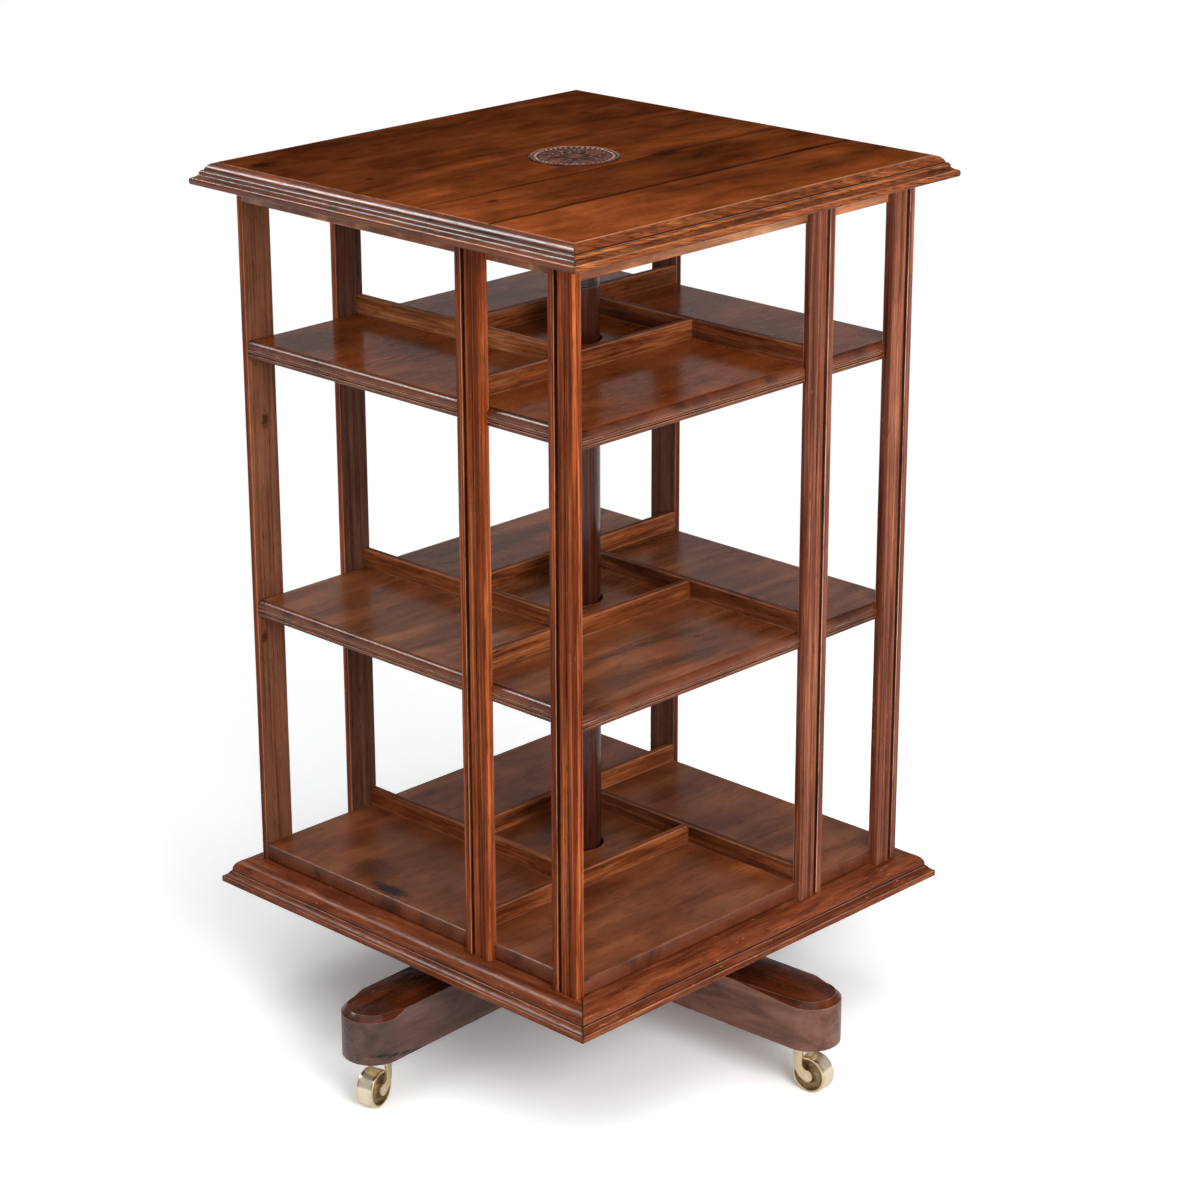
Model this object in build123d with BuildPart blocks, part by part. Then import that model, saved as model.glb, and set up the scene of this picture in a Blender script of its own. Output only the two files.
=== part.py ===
from build123d import *

import os
from math import cos, radians, sin

# Revolving bookcase: a square open case of shelves between eight moulded uprights turns on a round
# column. The column stands on a half-lapped cross whose four arms run on brass castors.
# Millimetres. The origin is on the floor under the column's axis, +Z is up, and the case's four
# sides face -Y (south), +X (east), +Y (north) and -X (west).

os.makedirs("parts", exist_ok=True)

# ---------------------------------------------------------------- driving dimensions
# heights, from the floor up
overall_height = 851.6          # floor to the flat field of the top
castor_height = 53.0            # floor to the underside of the cross
arm_height = 48.8               # cross timber
case_lift = 28.2                # cross to the underside of the plinth
plinth_height = 23.4            # plinth moulding, up to its ledge
bottom_thickness = 16.9         # bottom board
lower_tier = 238.2              # clear height for books above the bottom board
middle_tier = 240.0             # clear height for books above the lower shelf
shelf_thickness = 16.9
subtop_thickness = 17.5         # board that ties the uprights together under the top
top_thickness = 20.6

# plan of the case
shelf_side = 436.0              # square shelves
plinth_overhang = 31.2          # lower edge of the plinth, outside the shelves
plinth_rail_width = 60.0
field_overhang_x = 11.2         # flat field of the top, outside the shelves, across the grain
field_overhang_y = 17.0         # the same along the grain

# uprights
upright_width = 33.0
upright_thickness = 9.6
upright_round = 4.6             # rounding of the two outer corners
upright_bead = 10.2             # width of the bead down the middle
upright_quirk = 1.7             # width of the groove on each side of the bead
upright_quirk_depth = 2.7
upright_let_in = 2.5            # depth of the notches in the shelves that hold the uprights
divider_offset = 72.6           # centre of a face to the near edge of its inner upright

# book dividers
divider_thickness = 7.5
divider_height = 18.0
divider_arris = 0.8

# edge moulding of the shelves
shelf_round = 5.8
shelf_underround = 3.0
shelf_quirk = 0.8               # upper groove
shelf_quirk_depth = 1.3
shelf_lower_quirk = 1.3         # lower groove
shelf_lower_quirk_depth = 2.0
shelf_bead = 3.2
shelf_bead_height = 4.3         # underside of the shelf to the lower groove

# edge rounding of the bottom board and the sub-top
board_arris = 1.8

# moulding planted round the top, from the flat field outwards and down to a round nosing
top_lip = 0.6
top_ovolo_out = 8.0
top_ovolo_drop = 6.7
top_ledge = 1.6
top_bead_out = 1.6
top_bead_drop = 3.8
top_cove_out = 5.2
top_cove_drop = 3.0
top_nosing_out = 1.5

# moulding of the plinth, from its lower edge up and inwards to an ovolo under the ledge
plinth_fillet = 5.9
plinth_cove_in = 6.3
plinth_cove_rise = 5.5
plinth_step_in = 1.1
plinth_step_rise = 2.9
plinth_ovolo_in = 11.4
ovolo_bulge = 0.17              # height of a convex moulding over its chord, as a share of the chord
cove_bulge = 0.09               # the same for a concave one

# column and its bearings
column_diameter = 44.7
column_hole_clearance = 2.6     # round the column, in every board it passes
tenon_diameter = 30.0
cap_height = 55.0               # iron cap on the column's top
cap_gap = 3.45                  # cap to the bearing cup
cap_wall = 3.0
pin_diameter = 16.0
pin_depth = 60.0                # how far the pin runs down into the column
cup_boss_diameter = 34.0
cup_boss_drop = 20.0
cup_flange_diameter = 84.0
cup_flange_thickness = 3.0
pin_round = 2.0                 # rounding of the pin's bearing end
cup_depth = 12.0                # how far the pin reaches into the cup
cup_screw_circle = 62.0
guide_outer_diameter = 92.0
guide_thickness = 8.0
guide_screw_circle = 72.0
case_screw_count = 4

# screws of the cup and of the guide ring
screw_diameter = 4.0
screw_head = 7.6
screw_sink = 2.0                # height of the countersunk head
screw_length = 14.0
slot_share = 0.22               # width and depth of every screw's slot, as a share of its head

# cross of the base
base_turn = 2.86                # the case stands turned by this much against the cross
arm_reach = 319.0               # axis to the end of an arm
arm_width = 58.7
arm_chamfer = 5.5
arm_fade = 16.0                 # run-out of the end chamfer along an arm's side
long_fade = 75.0                # its longer run-out, on one side of one arm
long_fade_at = (1, -1)          # east arm, to the right of its axis

# castors
castor_inset = 39.0             # end of an arm to the castor's stem
castor_trail = 14.5             # stem to the wheel's axle
castor_turns = (13.0, 3.1, -7.0, 9.0)   # swivel of each castor, south, east, north, west
wheel_diameter = 36.6
wheel_width = 17.5
wheel_rim = 2.6                 # thickness of the rim
wheel_dish = 4.2                # depth of the dished face
wheel_edge = 0.7
hub_diameter = 12.0
axle_diameter = 5.0
cheek_thickness = 2.2
cheek_width = 9.5
cheek_setback = 10.4            # axle to the middle of a cheek's upright strip
cheek_bend = 11.7               # height over the axle where a cheek starts to bend
cheek_fillet = 4.7              # height over the boss where its inner edge starts to bend
boss_radius = 6.0
crown_thickness = 5.0
plate_thickness = 2.6
plate_diameter = 42.0
stem_diameter = 8.0
stem_head_diameter = 13.0
stem_head_height = 2.2
stem_head_round = 1.2
plate_screw_circle = 31.0
plate_screw_count = 4
plate_screw_diameter = 3.0
plate_screw_head = 5.6
plate_screw_sink = 1.4
plate_screw_length = 16.0

# medallion in the top
medallion_diameter = 84.0
medallion_place = (-5.3, 4.5)   # its middle, seen from the column's axis
medallion_thickness = 6.7
medallion_proud = 1.7
medallion_rim = 3.2
medallion_arris = 0.5           # rounding of the rim's outer edge
medallion_sink = 1.6            # depth of the carved ground below the rim
medallion_petals = 12
medallion_petal_length = 18.0
medallion_petal_width = 7.6
medallion_petal_radius = 24.0   # axis to the middle of a petal
medallion_button = 18.0

# clearances
glue_gap = 0.05                 # between glued pieces
running_gap = 0.08              # radial, between a shaft and its bearing
swivel_gap = 0.3                # between faces that turn over each other
wheel_side_gap = 0.4            # between a wheel and its cheeks
screw_gap = 0.02                # radial, round a screw
stem_pocket_gap = 1.2           # round a castor's riveted stem head
medallion_gap = 0.15

# ---------------------------------------------------------------- derived places
sides = ("south", "east", "north", "west")
quarter = 90.0

arm_top = castor_height + arm_height
plinth_bottom = arm_top + case_lift
ledge = plinth_bottom + plinth_height
bottom_top = ledge + bottom_thickness
lower_shelf_bottom = bottom_top + lower_tier
lower_shelf_top = lower_shelf_bottom + shelf_thickness
upper_shelf_bottom = lower_shelf_top + middle_tier
upper_shelf_top = upper_shelf_bottom + shelf_thickness
top_surface = overall_height
subtop_top = top_surface - top_thickness
subtop_bottom = subtop_top - subtop_thickness

shelf_half = shelf_side / 2
plinth_half = shelf_half + plinth_overhang
field_half_x = shelf_half + field_overhang_x
field_half_y = shelf_half + field_overhang_y
upright_back = shelf_half - upright_let_in + glue_gap
upright_half = upright_width / 2
corner_upright = shelf_half - upright_half
inner_upright = divider_offset + upright_half
column_radius = column_diameter / 2
column_hole_radius = column_radius + column_hole_clearance
castor_radius = arm_reach - castor_inset


def side_frame(index, height, along=0.0, out=0.0):
    """Plane on the side of this index: its X runs along the side and its -Y axis points outwards."""
    turn = radians(quarter * index)
    run = Vector(cos(turn), sin(turn), 0)
    outward = Vector(sin(turn), -cos(turn), 0)
    place = run * along + outward * out + Vector(0, 0, height)
    return Plane(origin=place, x_dir=run, z_dir=(0, 0, 1))


def arm_frame(index, height, along=0.0):
    """Plane on the arm of this index: its X axis points outwards along the arm."""
    turn = radians(quarter * (index - 1) + base_turn)
    outward = Vector(cos(turn), sin(turn), 0)
    return Plane(origin=outward * along + Vector(0, 0, height), x_dir=outward, z_dir=(0, 0, 1))


def castor_frame(index, height):
    """Plane at the castor of this index: its X axis points from the stem to the wheel."""
    return arm_frame(index, height, castor_radius).rotated((0, 0, castor_turns[index]))


def upright_plane(base, along=0.0):
    """Plane that stands up from another: it keeps the base's X axis, and its Y axis is +Z."""
    place = base.origin + base.x_dir * along
    return Plane(origin=place, x_dir=base.x_dir, z_dir=base.x_dir.cross(base.z_dir))


def profile_plane(index, height, out):
    """Upright plane across a side: its X axis points outwards from the case and its Y axis is +Z."""
    base = side_frame(index, height, out=out)
    return Plane(origin=base.origin, x_dir=base.y_dir * -1, z_dir=base.x_dir * -1)


def bow(start, end, share):
    """Arc that stands off its chord by a share of the chord, to the left of the way it runs."""
    chord = (Vector(*end) - Vector(*start)).length
    return SagittaArc(start, end, share * chord)


def screw_shape(head, shank, sink, length, room=0.0):
    """Countersunk screw that points up from the origin, or with room all round the hole for it."""
    tip = length - shank / 2
    with BuildPart() as shape:
        with BuildSketch(Plane.XZ):
            with BuildLine():
                Polyline((0, 0), (head / 2 + room, 0), (shank / 2 + room, sink), (shank / 2 + room, tip),
                         (0, length), close=True)
            make_face()
        revolve(axis=Axis.Z)
        if not room:
            with BuildSketch():
                Rectangle(head, head * slot_share)
            extrude(amount=head * slot_share / 2, mode=Mode.SUBTRACT)
    return shape.part


def save(part, label):
    """Label a finished piece and write it as its own file."""
    part.label = label
    export_step(part, f"parts/{label}.step")


# ---------------------------------------------------------------- uprights
bead_half = upright_bead / 2
bead_radius = (bead_half**2 + upright_quirk_depth**2) / (2 * upright_quirk_depth)
quirk_edge = bead_half + upright_quirk
quirk_bottom = upright_thickness - upright_quirk_depth
upright_length = subtop_top - ledge - 2 * glue_gap

for index, side in enumerate(sides):
    for name, place in (("corner", corner_upright), ("inner", inner_upright)):
        with BuildPart() as upright:
            with BuildSketch(side_frame(index, ledge + glue_gap, place, upright_back)):
                with BuildLine():
                    Polyline((0, -upright_thickness), (0, 0), (upright_half, 0),
                             (upright_half, upright_round - upright_thickness))
                    RadiusArc((upright_half, upright_round - upright_thickness),
                              (upright_half - upright_round, -upright_thickness), upright_round)
                    Polyline((upright_half - upright_round, -upright_thickness),
                             (quirk_edge, -upright_thickness), (quirk_edge, -quirk_bottom),
                             (bead_half, -quirk_bottom))
                    RadiusArc((bead_half, -quirk_bottom), (0, -upright_thickness), bead_radius)
                make_face()
                mirror(about=Plane.YZ)
            extrude(amount=upright_length)
        save(upright.part, f"upright_{side}_{name}")


# ---------------------------------------------------------------- shelves and boards
notch_width = upright_width + 2 * glue_gap
lower_quirk_top = shelf_bead_height + shelf_lower_quirk
upper_quirk_bottom = lower_quirk_top + shelf_bead

# plan of the eight notches that hold the uprights
with BuildSketch() as notches:
    with PolarLocations(0, len(sides)):
        with Locations((corner_upright, -shelf_half), (inner_upright, -shelf_half)):
            Rectangle(notch_width, 2 * upright_let_in)

for name, top in (("lower", lower_shelf_top), ("upper", upper_shelf_top)):
    underside = top - shelf_thickness
    with BuildPart() as shelf:
        with BuildSketch(Plane.XY.offset(underside)):
            Rectangle(shelf_side, shelf_side)
        extrude(amount=shelf_thickness)
        fillet(shelf.edges().group_by(Axis.Z)[-1], shelf_round)
        fillet(shelf.edges().group_by(Axis.Z)[0], shelf_underround)
        for height, width, depth in (
            (shelf_bead_height, shelf_lower_quirk, shelf_lower_quirk_depth),
            (upper_quirk_bottom, shelf_quirk, shelf_quirk_depth),
        ):
            with BuildSketch(Plane.XY.offset(underside + height)):
                Rectangle(shelf_side, shelf_side)
                Rectangle(shelf_side - 2 * depth, shelf_side - 2 * depth, mode=Mode.SUBTRACT)
            extrude(amount=width, mode=Mode.SUBTRACT)
        with BuildSketch(Plane.XY.offset(underside)):
            add(notches.sketch)
            Circle(column_hole_radius)
        extrude(amount=shelf_thickness, mode=Mode.SUBTRACT)
    save(shelf.part, f"shelf_{name}")

with BuildPart() as bottom_board:
    with BuildSketch(Plane.XY.offset(ledge + glue_gap)):
        Rectangle(shelf_side, shelf_side)
    extrude(amount=bottom_thickness - glue_gap)
    fillet(bottom_board.edges().group_by(Axis.Z)[-1], board_arris)
    fillet(bottom_board.edges().group_by(Axis.Z)[0], shelf_underround)
    with BuildSketch(Plane.XY.offset(ledge + glue_gap)):
        add(notches.sketch)
        Circle(column_hole_radius)
    extrude(amount=bottom_thickness, mode=Mode.SUBTRACT)
    with BuildSketch(Plane.XY.offset(ledge + glue_gap)):
        with PolarLocations(guide_screw_circle / 2, case_screw_count):
            Circle(screw_diameter / 2 + screw_gap)
    extrude(amount=screw_length + screw_gap - guide_thickness, mode=Mode.SUBTRACT)
save(bottom_board.part, "bottom_board")

with BuildPart() as sub_top:
    with BuildSketch(Plane.XY.offset(subtop_bottom)):
        Rectangle(shelf_side, shelf_side)
    extrude(amount=subtop_thickness - glue_gap)
    fillet(sub_top.edges().group_by(Axis.Z)[0], board_arris)
    with BuildSketch(Plane.XY.offset(subtop_bottom)):
        add(notches.sketch)
    extrude(amount=subtop_thickness, mode=Mode.SUBTRACT)
    with BuildSketch(Plane.XY.offset(subtop_bottom)):
        with PolarLocations(cup_screw_circle / 2, case_screw_count):
            Circle(screw_diameter / 2 + screw_gap)
    extrude(amount=screw_length + screw_gap - cup_flange_thickness, mode=Mode.SUBTRACT)
save(sub_top.part, "sub_top")


# ---------------------------------------------------------------- book dividers
divider_line = divider_offset + divider_thickness / 2
divider_length = upright_back + divider_offset - 2 * glue_gap
divider_middle = upright_back - glue_gap - divider_length / 2

for level, surface in (("bottom", bottom_top), ("lower", lower_shelf_top), ("upper", upper_shelf_top)):
    for index, side in enumerate(sides):
        with BuildPart() as divider:
            with BuildSketch(side_frame(index, surface + glue_gap, divider_line, divider_middle)):
                Rectangle(divider_thickness, divider_length)
            extrude(amount=divider_height - glue_gap)
            fillet(divider.edges().group_by(Axis.Z)[-1], divider_arris)
        save(divider.part, f"divider_{level}_{side}")


# ---------------------------------------------------------------- top and its mouldings
top_bottom = subtop_top + glue_gap
moulding_bottom = top_bottom - top_surface
field_half = {"south": field_half_y, "east": field_half_x, "north": field_half_y, "west": field_half_x}
recess_radius = medallion_diameter / 2 + medallion_gap
medallion_bottom = top_surface + medallion_proud - medallion_thickness

with BuildPart() as top_board:
    with BuildSketch(Plane.XY.offset(top_bottom)):
        Rectangle(2 * field_half_x, 2 * field_half_y)
    extrude(amount=top_surface - top_bottom)
    with BuildSketch(Plane.XY.offset(medallion_bottom - glue_gap)):
        with Locations(medallion_place):
            Circle(recess_radius)
    extrude(amount=medallion_thickness, mode=Mode.SUBTRACT)
save(top_board.part, "top_board")

ovolo_top = -top_lip
ovolo_foot = ovolo_top - top_ovolo_drop
bead_out = top_ovolo_out + top_ledge
bead_foot = ovolo_foot - top_bead_drop
cove_out = bead_out + top_bead_out
cove_foot = bead_foot - top_cove_drop
nosing_root = cove_out + top_cove_out
nosing_tip = (nosing_root + top_nosing_out, (cove_foot + moulding_bottom) / 2)

for index, side in enumerate(sides):
    reach = field_half[side] + glue_gap
    along = field_half[sides[index - 1]]
    with BuildPart() as top_moulding:
        with BuildSketch(profile_plane(index, top_surface, reach)):
            with BuildLine():
                Polyline((nosing_root, moulding_bottom), (0, moulding_bottom), (0, ovolo_top))
                bow((0, ovolo_top), (top_ovolo_out, ovolo_foot), ovolo_bulge)
                Line((top_ovolo_out, ovolo_foot), (bead_out, ovolo_foot))
                bow((bead_out, ovolo_foot), (cove_out, bead_foot), ovolo_bulge)
                bow((cove_out, bead_foot), (nosing_root, cove_foot), -cove_bulge)
                ThreePointArc((nosing_root, cove_foot), nosing_tip, (nosing_root, moulding_bottom))
            make_face()
        extrude(amount=along + nosing_tip[0], both=True)
        for way in (1, -1):
            mitre = side_frame(index, 0, way * along, reach)
            split(bisect_by=Plane(origin=mitre.origin, z_dir=mitre.x_dir * way + mitre.y_dir),
                  keep=Keep.BOTTOM)
    save(top_moulding.part, f"top_moulding_{side}")


# ---------------------------------------------------------------- plinth
cove_top = plinth_fillet + plinth_cove_rise
step_top = cove_top + plinth_step_rise
ovolo_in = plinth_cove_in + plinth_step_in

for index, side in enumerate(sides):
    with BuildPart() as plinth:
        with BuildSketch(profile_plane(index, plinth_bottom, plinth_half)):
            with BuildLine():
                Polyline((-ovolo_in - plinth_ovolo_in, plinth_height),
                         (-plinth_rail_width, plinth_height), (-plinth_rail_width, 0), (0, 0),
                         (0, plinth_fillet))
                bow((0, plinth_fillet), (-plinth_cove_in, cove_top), cove_bulge)
                Polyline((-plinth_cove_in, cove_top), (-ovolo_in, cove_top), (-ovolo_in, step_top))
                bow((-ovolo_in, step_top), (-ovolo_in - plinth_ovolo_in, plinth_height), -ovolo_bulge)
            make_face()
        extrude(amount=plinth_half, both=True)
        for way in (1, -1):
            mitre = side_frame(index, 0, way * (plinth_half - glue_gap), plinth_half)
            split(bisect_by=Plane(origin=mitre.origin, z_dir=mitre.x_dir * way + mitre.y_dir),
                  keep=Keep.BOTTOM)
    save(plinth.part, f"plinth_{side}")


# ---------------------------------------------------------------- medallion in the top
medallion_radius = medallion_diameter / 2

with BuildPart() as medallion:
    with BuildSketch(Plane.XY.offset(medallion_bottom)):
        with Locations(medallion_place):
            Circle(medallion_radius)
    extrude(amount=medallion_thickness)
    fillet(medallion.edges().group_by(Axis.Z)[-1], medallion_arris)
    with BuildSketch(Plane.XY.offset(medallion_bottom + medallion_thickness)):
        with Locations(medallion_place):
            Circle(medallion_radius - medallion_rim)
            Circle(medallion_button / 2, mode=Mode.SUBTRACT)
            with PolarLocations(medallion_petal_radius, medallion_petals):
                Ellipse(medallion_petal_length / 2, medallion_petal_width / 2, mode=Mode.SUBTRACT)
    extrude(amount=-medallion_sink, mode=Mode.SUBTRACT)
save(medallion.part, "medallion")


# ---------------------------------------------------------------- column, its iron cap and the pin
tenon_radius = tenon_diameter / 2
cup_top = subtop_bottom - glue_gap
cup_bottom = cup_top - cup_boss_drop
cap_top = cup_bottom - cap_gap
cap_bottom = cap_top - cap_height
cap_inside = column_radius - cap_wall
pin_radius = pin_diameter / 2
pin_bottom = cap_top - pin_depth
pin_top = cup_bottom + cup_depth - swivel_gap
neck_top = cap_top - cap_wall - glue_gap

with BuildPart() as column:
    for bottom, top, radius in (
        (castor_height, arm_top + glue_gap, tenon_radius),
        (arm_top + glue_gap, cap_bottom - glue_gap, column_radius),
        (cap_bottom - glue_gap, neck_top, cap_inside - glue_gap),
    ):
        with BuildSketch(Plane.XY.offset(bottom)):
            Circle(radius)
        extrude(amount=top - bottom)
    with BuildSketch(Plane.XY.offset(neck_top)):
        Circle(pin_radius + glue_gap)
    extrude(amount=pin_bottom - glue_gap - neck_top, mode=Mode.SUBTRACT)
save(column.part, "column")

with BuildPart() as column_cap:
    with BuildSketch(Plane.XY.offset(cap_bottom)):
        Circle(column_radius)
    extrude(amount=cap_height)
    with BuildSketch(Plane.XY.offset(cap_bottom)):
        Circle(cap_inside)
    extrude(amount=cap_height - cap_wall, mode=Mode.SUBTRACT)
    with BuildSketch(Plane.XY.offset(cap_top)):
        Circle(pin_radius + glue_gap)
    extrude(amount=-2 * cap_wall, mode=Mode.SUBTRACT)
save(column_cap.part, "column_cap")

with BuildPart() as pivot_pin:
    with BuildSketch(Plane.XY.offset(pin_bottom)):
        Circle(pin_radius)
    extrude(amount=pin_top - pin_bottom)
    fillet(pivot_pin.edges().group_by(Axis.Z)[-1], pin_round)
save(pivot_pin.part, "pivot_pin")


# ---------------------------------------------------------------- bearings of the case
flange_bottom = cup_top - cup_flange_thickness
guide_bottom = ledge - guide_thickness
bearing_screw = screw_shape(screw_head, screw_diameter, screw_sink, screw_length)
bearing_screw_room = screw_shape(screw_head, screw_diameter, screw_sink, screw_length, screw_gap)

with BuildPart() as bearing_cup:
    for bottom, diameter in ((cup_bottom, cup_boss_diameter), (flange_bottom, cup_flange_diameter)):
        with BuildSketch(Plane.XY.offset(bottom)):
            Circle(diameter / 2)
        extrude(amount=cup_top - bottom)
    with BuildSketch(Plane.XY.offset(cup_bottom)):
        Circle(pin_radius + running_gap)
    extrude(amount=cup_depth, mode=Mode.SUBTRACT)
    with Locations((0, 0, flange_bottom)):
        with PolarLocations(cup_screw_circle / 2, case_screw_count):
            add(bearing_screw_room, mode=Mode.SUBTRACT)
save(bearing_cup.part, "bearing_cup")

with BuildPart() as guide_ring:
    with BuildSketch(Plane.XY.offset(guide_bottom)):
        Circle(guide_outer_diameter / 2)
        Circle(column_radius + running_gap, mode=Mode.SUBTRACT)
    extrude(amount=guide_thickness)
    with Locations((0, 0, guide_bottom)):
        with PolarLocations(guide_screw_circle / 2, case_screw_count):
            add(bearing_screw_room, mode=Mode.SUBTRACT)
save(guide_ring.part, "guide_ring")

with BuildPart() as bearing_screws:
    for bottom, circle in ((flange_bottom, cup_screw_circle), (guide_bottom, guide_screw_circle)):
        with Locations((0, 0, bottom)):
            with PolarLocations(circle / 2, case_screw_count):
                add(bearing_screw)
save(bearing_screws.part, "bearing_screws")


# ---------------------------------------------------------------- cross of the base
arm_half = arm_width / 2
lap_level = castor_height + arm_height / 2
stem_pocket_depth = swivel_gap + stem_head_height + stem_pocket_gap
chamfer_corner = (
    (arm_half - 2 * arm_chamfer, arm_chamfer),
    (arm_half + arm_chamfer, arm_chamfer),
    (arm_half + arm_chamfer, -2 * arm_chamfer),
)

for name, first_arm, lap_bottom in (("ew", 1, lap_level), ("ns", 2, castor_height)):
    with BuildPart() as cross_beam:
        with BuildSketch(arm_frame(first_arm, castor_height)):
            SlotOverall(2 * arm_reach, arm_width)
            Circle(tenon_radius + glue_gap, mode=Mode.SUBTRACT)
        extrude(amount=arm_height)
        with BuildSketch(arm_frame(first_arm, lap_bottom)):
            Rectangle(arm_width + 2 * glue_gap, arm_width)
        extrude(amount=arm_height / 2 + glue_gap, mode=Mode.SUBTRACT)
        for arm in (first_arm, first_arm + 2):
            end = arm_frame(arm, arm_top, arm_reach - arm_half)
            for hand in (1, -1):
                across = end.y_dir * hand
                with BuildSketch(
                    Plane(origin=end.origin, x_dir=across, z_dir=end.x_dir * hand), mode=Mode.PRIVATE
                ) as corner:
                    with BuildLine():
                        Polyline(*chamfer_corner, close=True)
                    make_face()
                revolve(corner.sketch, axis=Axis(end.origin, end.z_dir), revolution_arc=-hand * quarter,
                        mode=Mode.SUBTRACT)
                fade = long_fade if (arm, hand) == long_fade_at else arm_fade
                fade_end = end.origin + across * arm_half - end.x_dir * fade
                loft([corner.sketch, Vertex(*fade_end)], mode=Mode.SUBTRACT)
            with BuildSketch(arm_frame(arm, castor_height, castor_radius)):
                with PolarLocations(plate_screw_circle / 2, plate_screw_count, start_angle=quarter / 2):
                    Circle(plate_screw_diameter / 2 + screw_gap)
            extrude(amount=plate_screw_length + screw_gap - plate_thickness, mode=Mode.SUBTRACT)
            with BuildSketch(arm_frame(arm, castor_height, castor_radius)):
                Circle(stem_head_diameter / 2 + stem_pocket_gap)
            extrude(amount=stem_pocket_depth, mode=Mode.SUBTRACT)
    save(cross_beam.part, f"cross_beam_{name}")


# ---------------------------------------------------------------- castors
plate_bottom = castor_height - plate_thickness
plate_top = castor_height - glue_gap
crown_top = plate_bottom - swivel_gap
crown_bottom = crown_top - crown_thickness
stem_head_bottom = plate_top + swivel_gap
stem_top = stem_head_bottom + stem_head_height
wheel_radius = wheel_diameter / 2
wheel_half = wheel_width / 2
cheek_inner = wheel_half + wheel_side_gap
cheek_outer = cheek_inner + cheek_thickness
cheek_back = castor_trail - cheek_setback - cheek_width / 2
cheek_front = cheek_back + cheek_width
hub_radius = hub_diameter / 2
rim_radius = wheel_radius - wheel_rim
dish_middle = (hub_radius + rim_radius) / 2
dish_bottom = wheel_half - wheel_dish
boss_top = wheel_radius + boss_radius
boss_bottom = wheel_radius - boss_radius
plate_screw = screw_shape(plate_screw_head, plate_screw_diameter, plate_screw_sink, plate_screw_length)
plate_screw_room = screw_shape(plate_screw_head, plate_screw_diameter, plate_screw_sink,
                               plate_screw_length, screw_gap)

for index, side in enumerate(sides):
    with BuildPart() as castor_plate:
        with BuildSketch(arm_frame(index, plate_bottom, castor_radius)):
            Circle(plate_diameter / 2)
            Circle(stem_diameter / 2 + running_gap, mode=Mode.SUBTRACT)
        extrude(amount=plate_top - plate_bottom)
        with Locations(arm_frame(index, plate_bottom, castor_radius)):
            with PolarLocations(plate_screw_circle / 2, plate_screw_count, start_angle=quarter / 2):
                add(plate_screw_room, mode=Mode.SUBTRACT)
    save(castor_plate.part, f"castor_plate_{side}")

    with BuildPart() as castor_horn:
        with BuildSketch(castor_frame(index, crown_bottom)):
            Circle(cheek_outer)
            Rectangle(cheek_front, 2 * cheek_outer, align=(Align.MIN, Align.CENTER))
        extrude(amount=crown_thickness)
        for near in (cheek_inner, -cheek_outer):
            with BuildSketch(upright_plane(castor_frame(index, 0)).offset(near)):
                with BuildLine():
                    Polyline((cheek_front, boss_top + cheek_fillet), (cheek_front, crown_top),
                             (cheek_back, crown_top), (cheek_back, wheel_radius + cheek_bend))
                    TangentArc((cheek_back, wheel_radius + cheek_bend), (castor_trail, boss_bottom),
                               tangent=(0, -1))
                    ThreePointArc((castor_trail, boss_bottom), (castor_trail + boss_radius, wheel_radius),
                                  (castor_trail, boss_top))
                    TangentArc((cheek_front, boss_top + cheek_fillet), (castor_trail, boss_top),
                               tangent=(0, -1))
                make_face()
            extrude(amount=cheek_thickness)
        with BuildSketch(castor_frame(index, crown_top)):
            Circle(stem_diameter / 2)
        extrude(amount=stem_top - crown_top)
        with BuildSketch(castor_frame(index, stem_head_bottom)):
            Circle(stem_head_diameter / 2)
        extrude(amount=stem_head_height)
        fillet(castor_horn.edges().group_by(Axis.Z)[-1], stem_head_round)
        with BuildSketch(upright_plane(castor_frame(index, wheel_radius), castor_trail)):
            Circle(axle_diameter / 2 + glue_gap)
        extrude(amount=cheek_outer, both=True, mode=Mode.SUBTRACT)
    save(castor_horn.part, f"castor_horn_{side}")

    with BuildPart() as castor_axle:
        with BuildSketch(upright_plane(castor_frame(index, wheel_radius), castor_trail)):
            Circle(axle_diameter / 2)
        extrude(amount=cheek_outer, both=True)
    save(castor_axle.part, f"castor_axle_{side}")

    wheel_face = upright_plane(castor_frame(index, wheel_radius), castor_trail)
    with BuildPart() as castor_wheel:
        with BuildSketch(wheel_face):
            Circle(wheel_radius)
        extrude(amount=wheel_half, both=True)
        fillet(castor_wheel.edges(), wheel_edge)
        with BuildSketch(wheel_face):
            Circle(axle_diameter / 2 + running_gap)
        extrude(amount=wheel_half, both=True, mode=Mode.SUBTRACT)
        with BuildSketch(Plane(origin=wheel_face.origin, x_dir=wheel_face.x_dir, z_dir=(0, 0, 1))):
            for hand in (1, -1):
                with BuildLine():
                    ThreePointArc((rim_radius, hand * wheel_half), (dish_middle, hand * dish_bottom),
                                  (hub_radius, hand * wheel_half))
                    Polyline((hub_radius, hand * wheel_half), (hub_radius, hand * cheek_inner),
                             (rim_radius, hand * cheek_inner), (rim_radius, hand * wheel_half))
                make_face()
        revolve(axis=Axis(wheel_face.origin, wheel_face.z_dir), mode=Mode.SUBTRACT)
    save(castor_wheel.part, f"castor_wheel_{side}")

with BuildPart() as castor_screws:
    for index in range(len(sides)):
        with Locations(arm_frame(index, plate_bottom, castor_radius)):
            with PolarLocations(plate_screw_circle / 2, plate_screw_count, start_angle=quarter / 2):
                add(plate_screw)
save(castor_screws.part, "castor_screws")
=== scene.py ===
import logging
from dataclasses import dataclass, replace
from enum import Enum
from itertools import product
from math import cos, pi, radians, sin
from typing import Any, Optional, Sequence

import bmesh
import bpy
import numpy as np
from mathutils import Matrix, Vector


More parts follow.
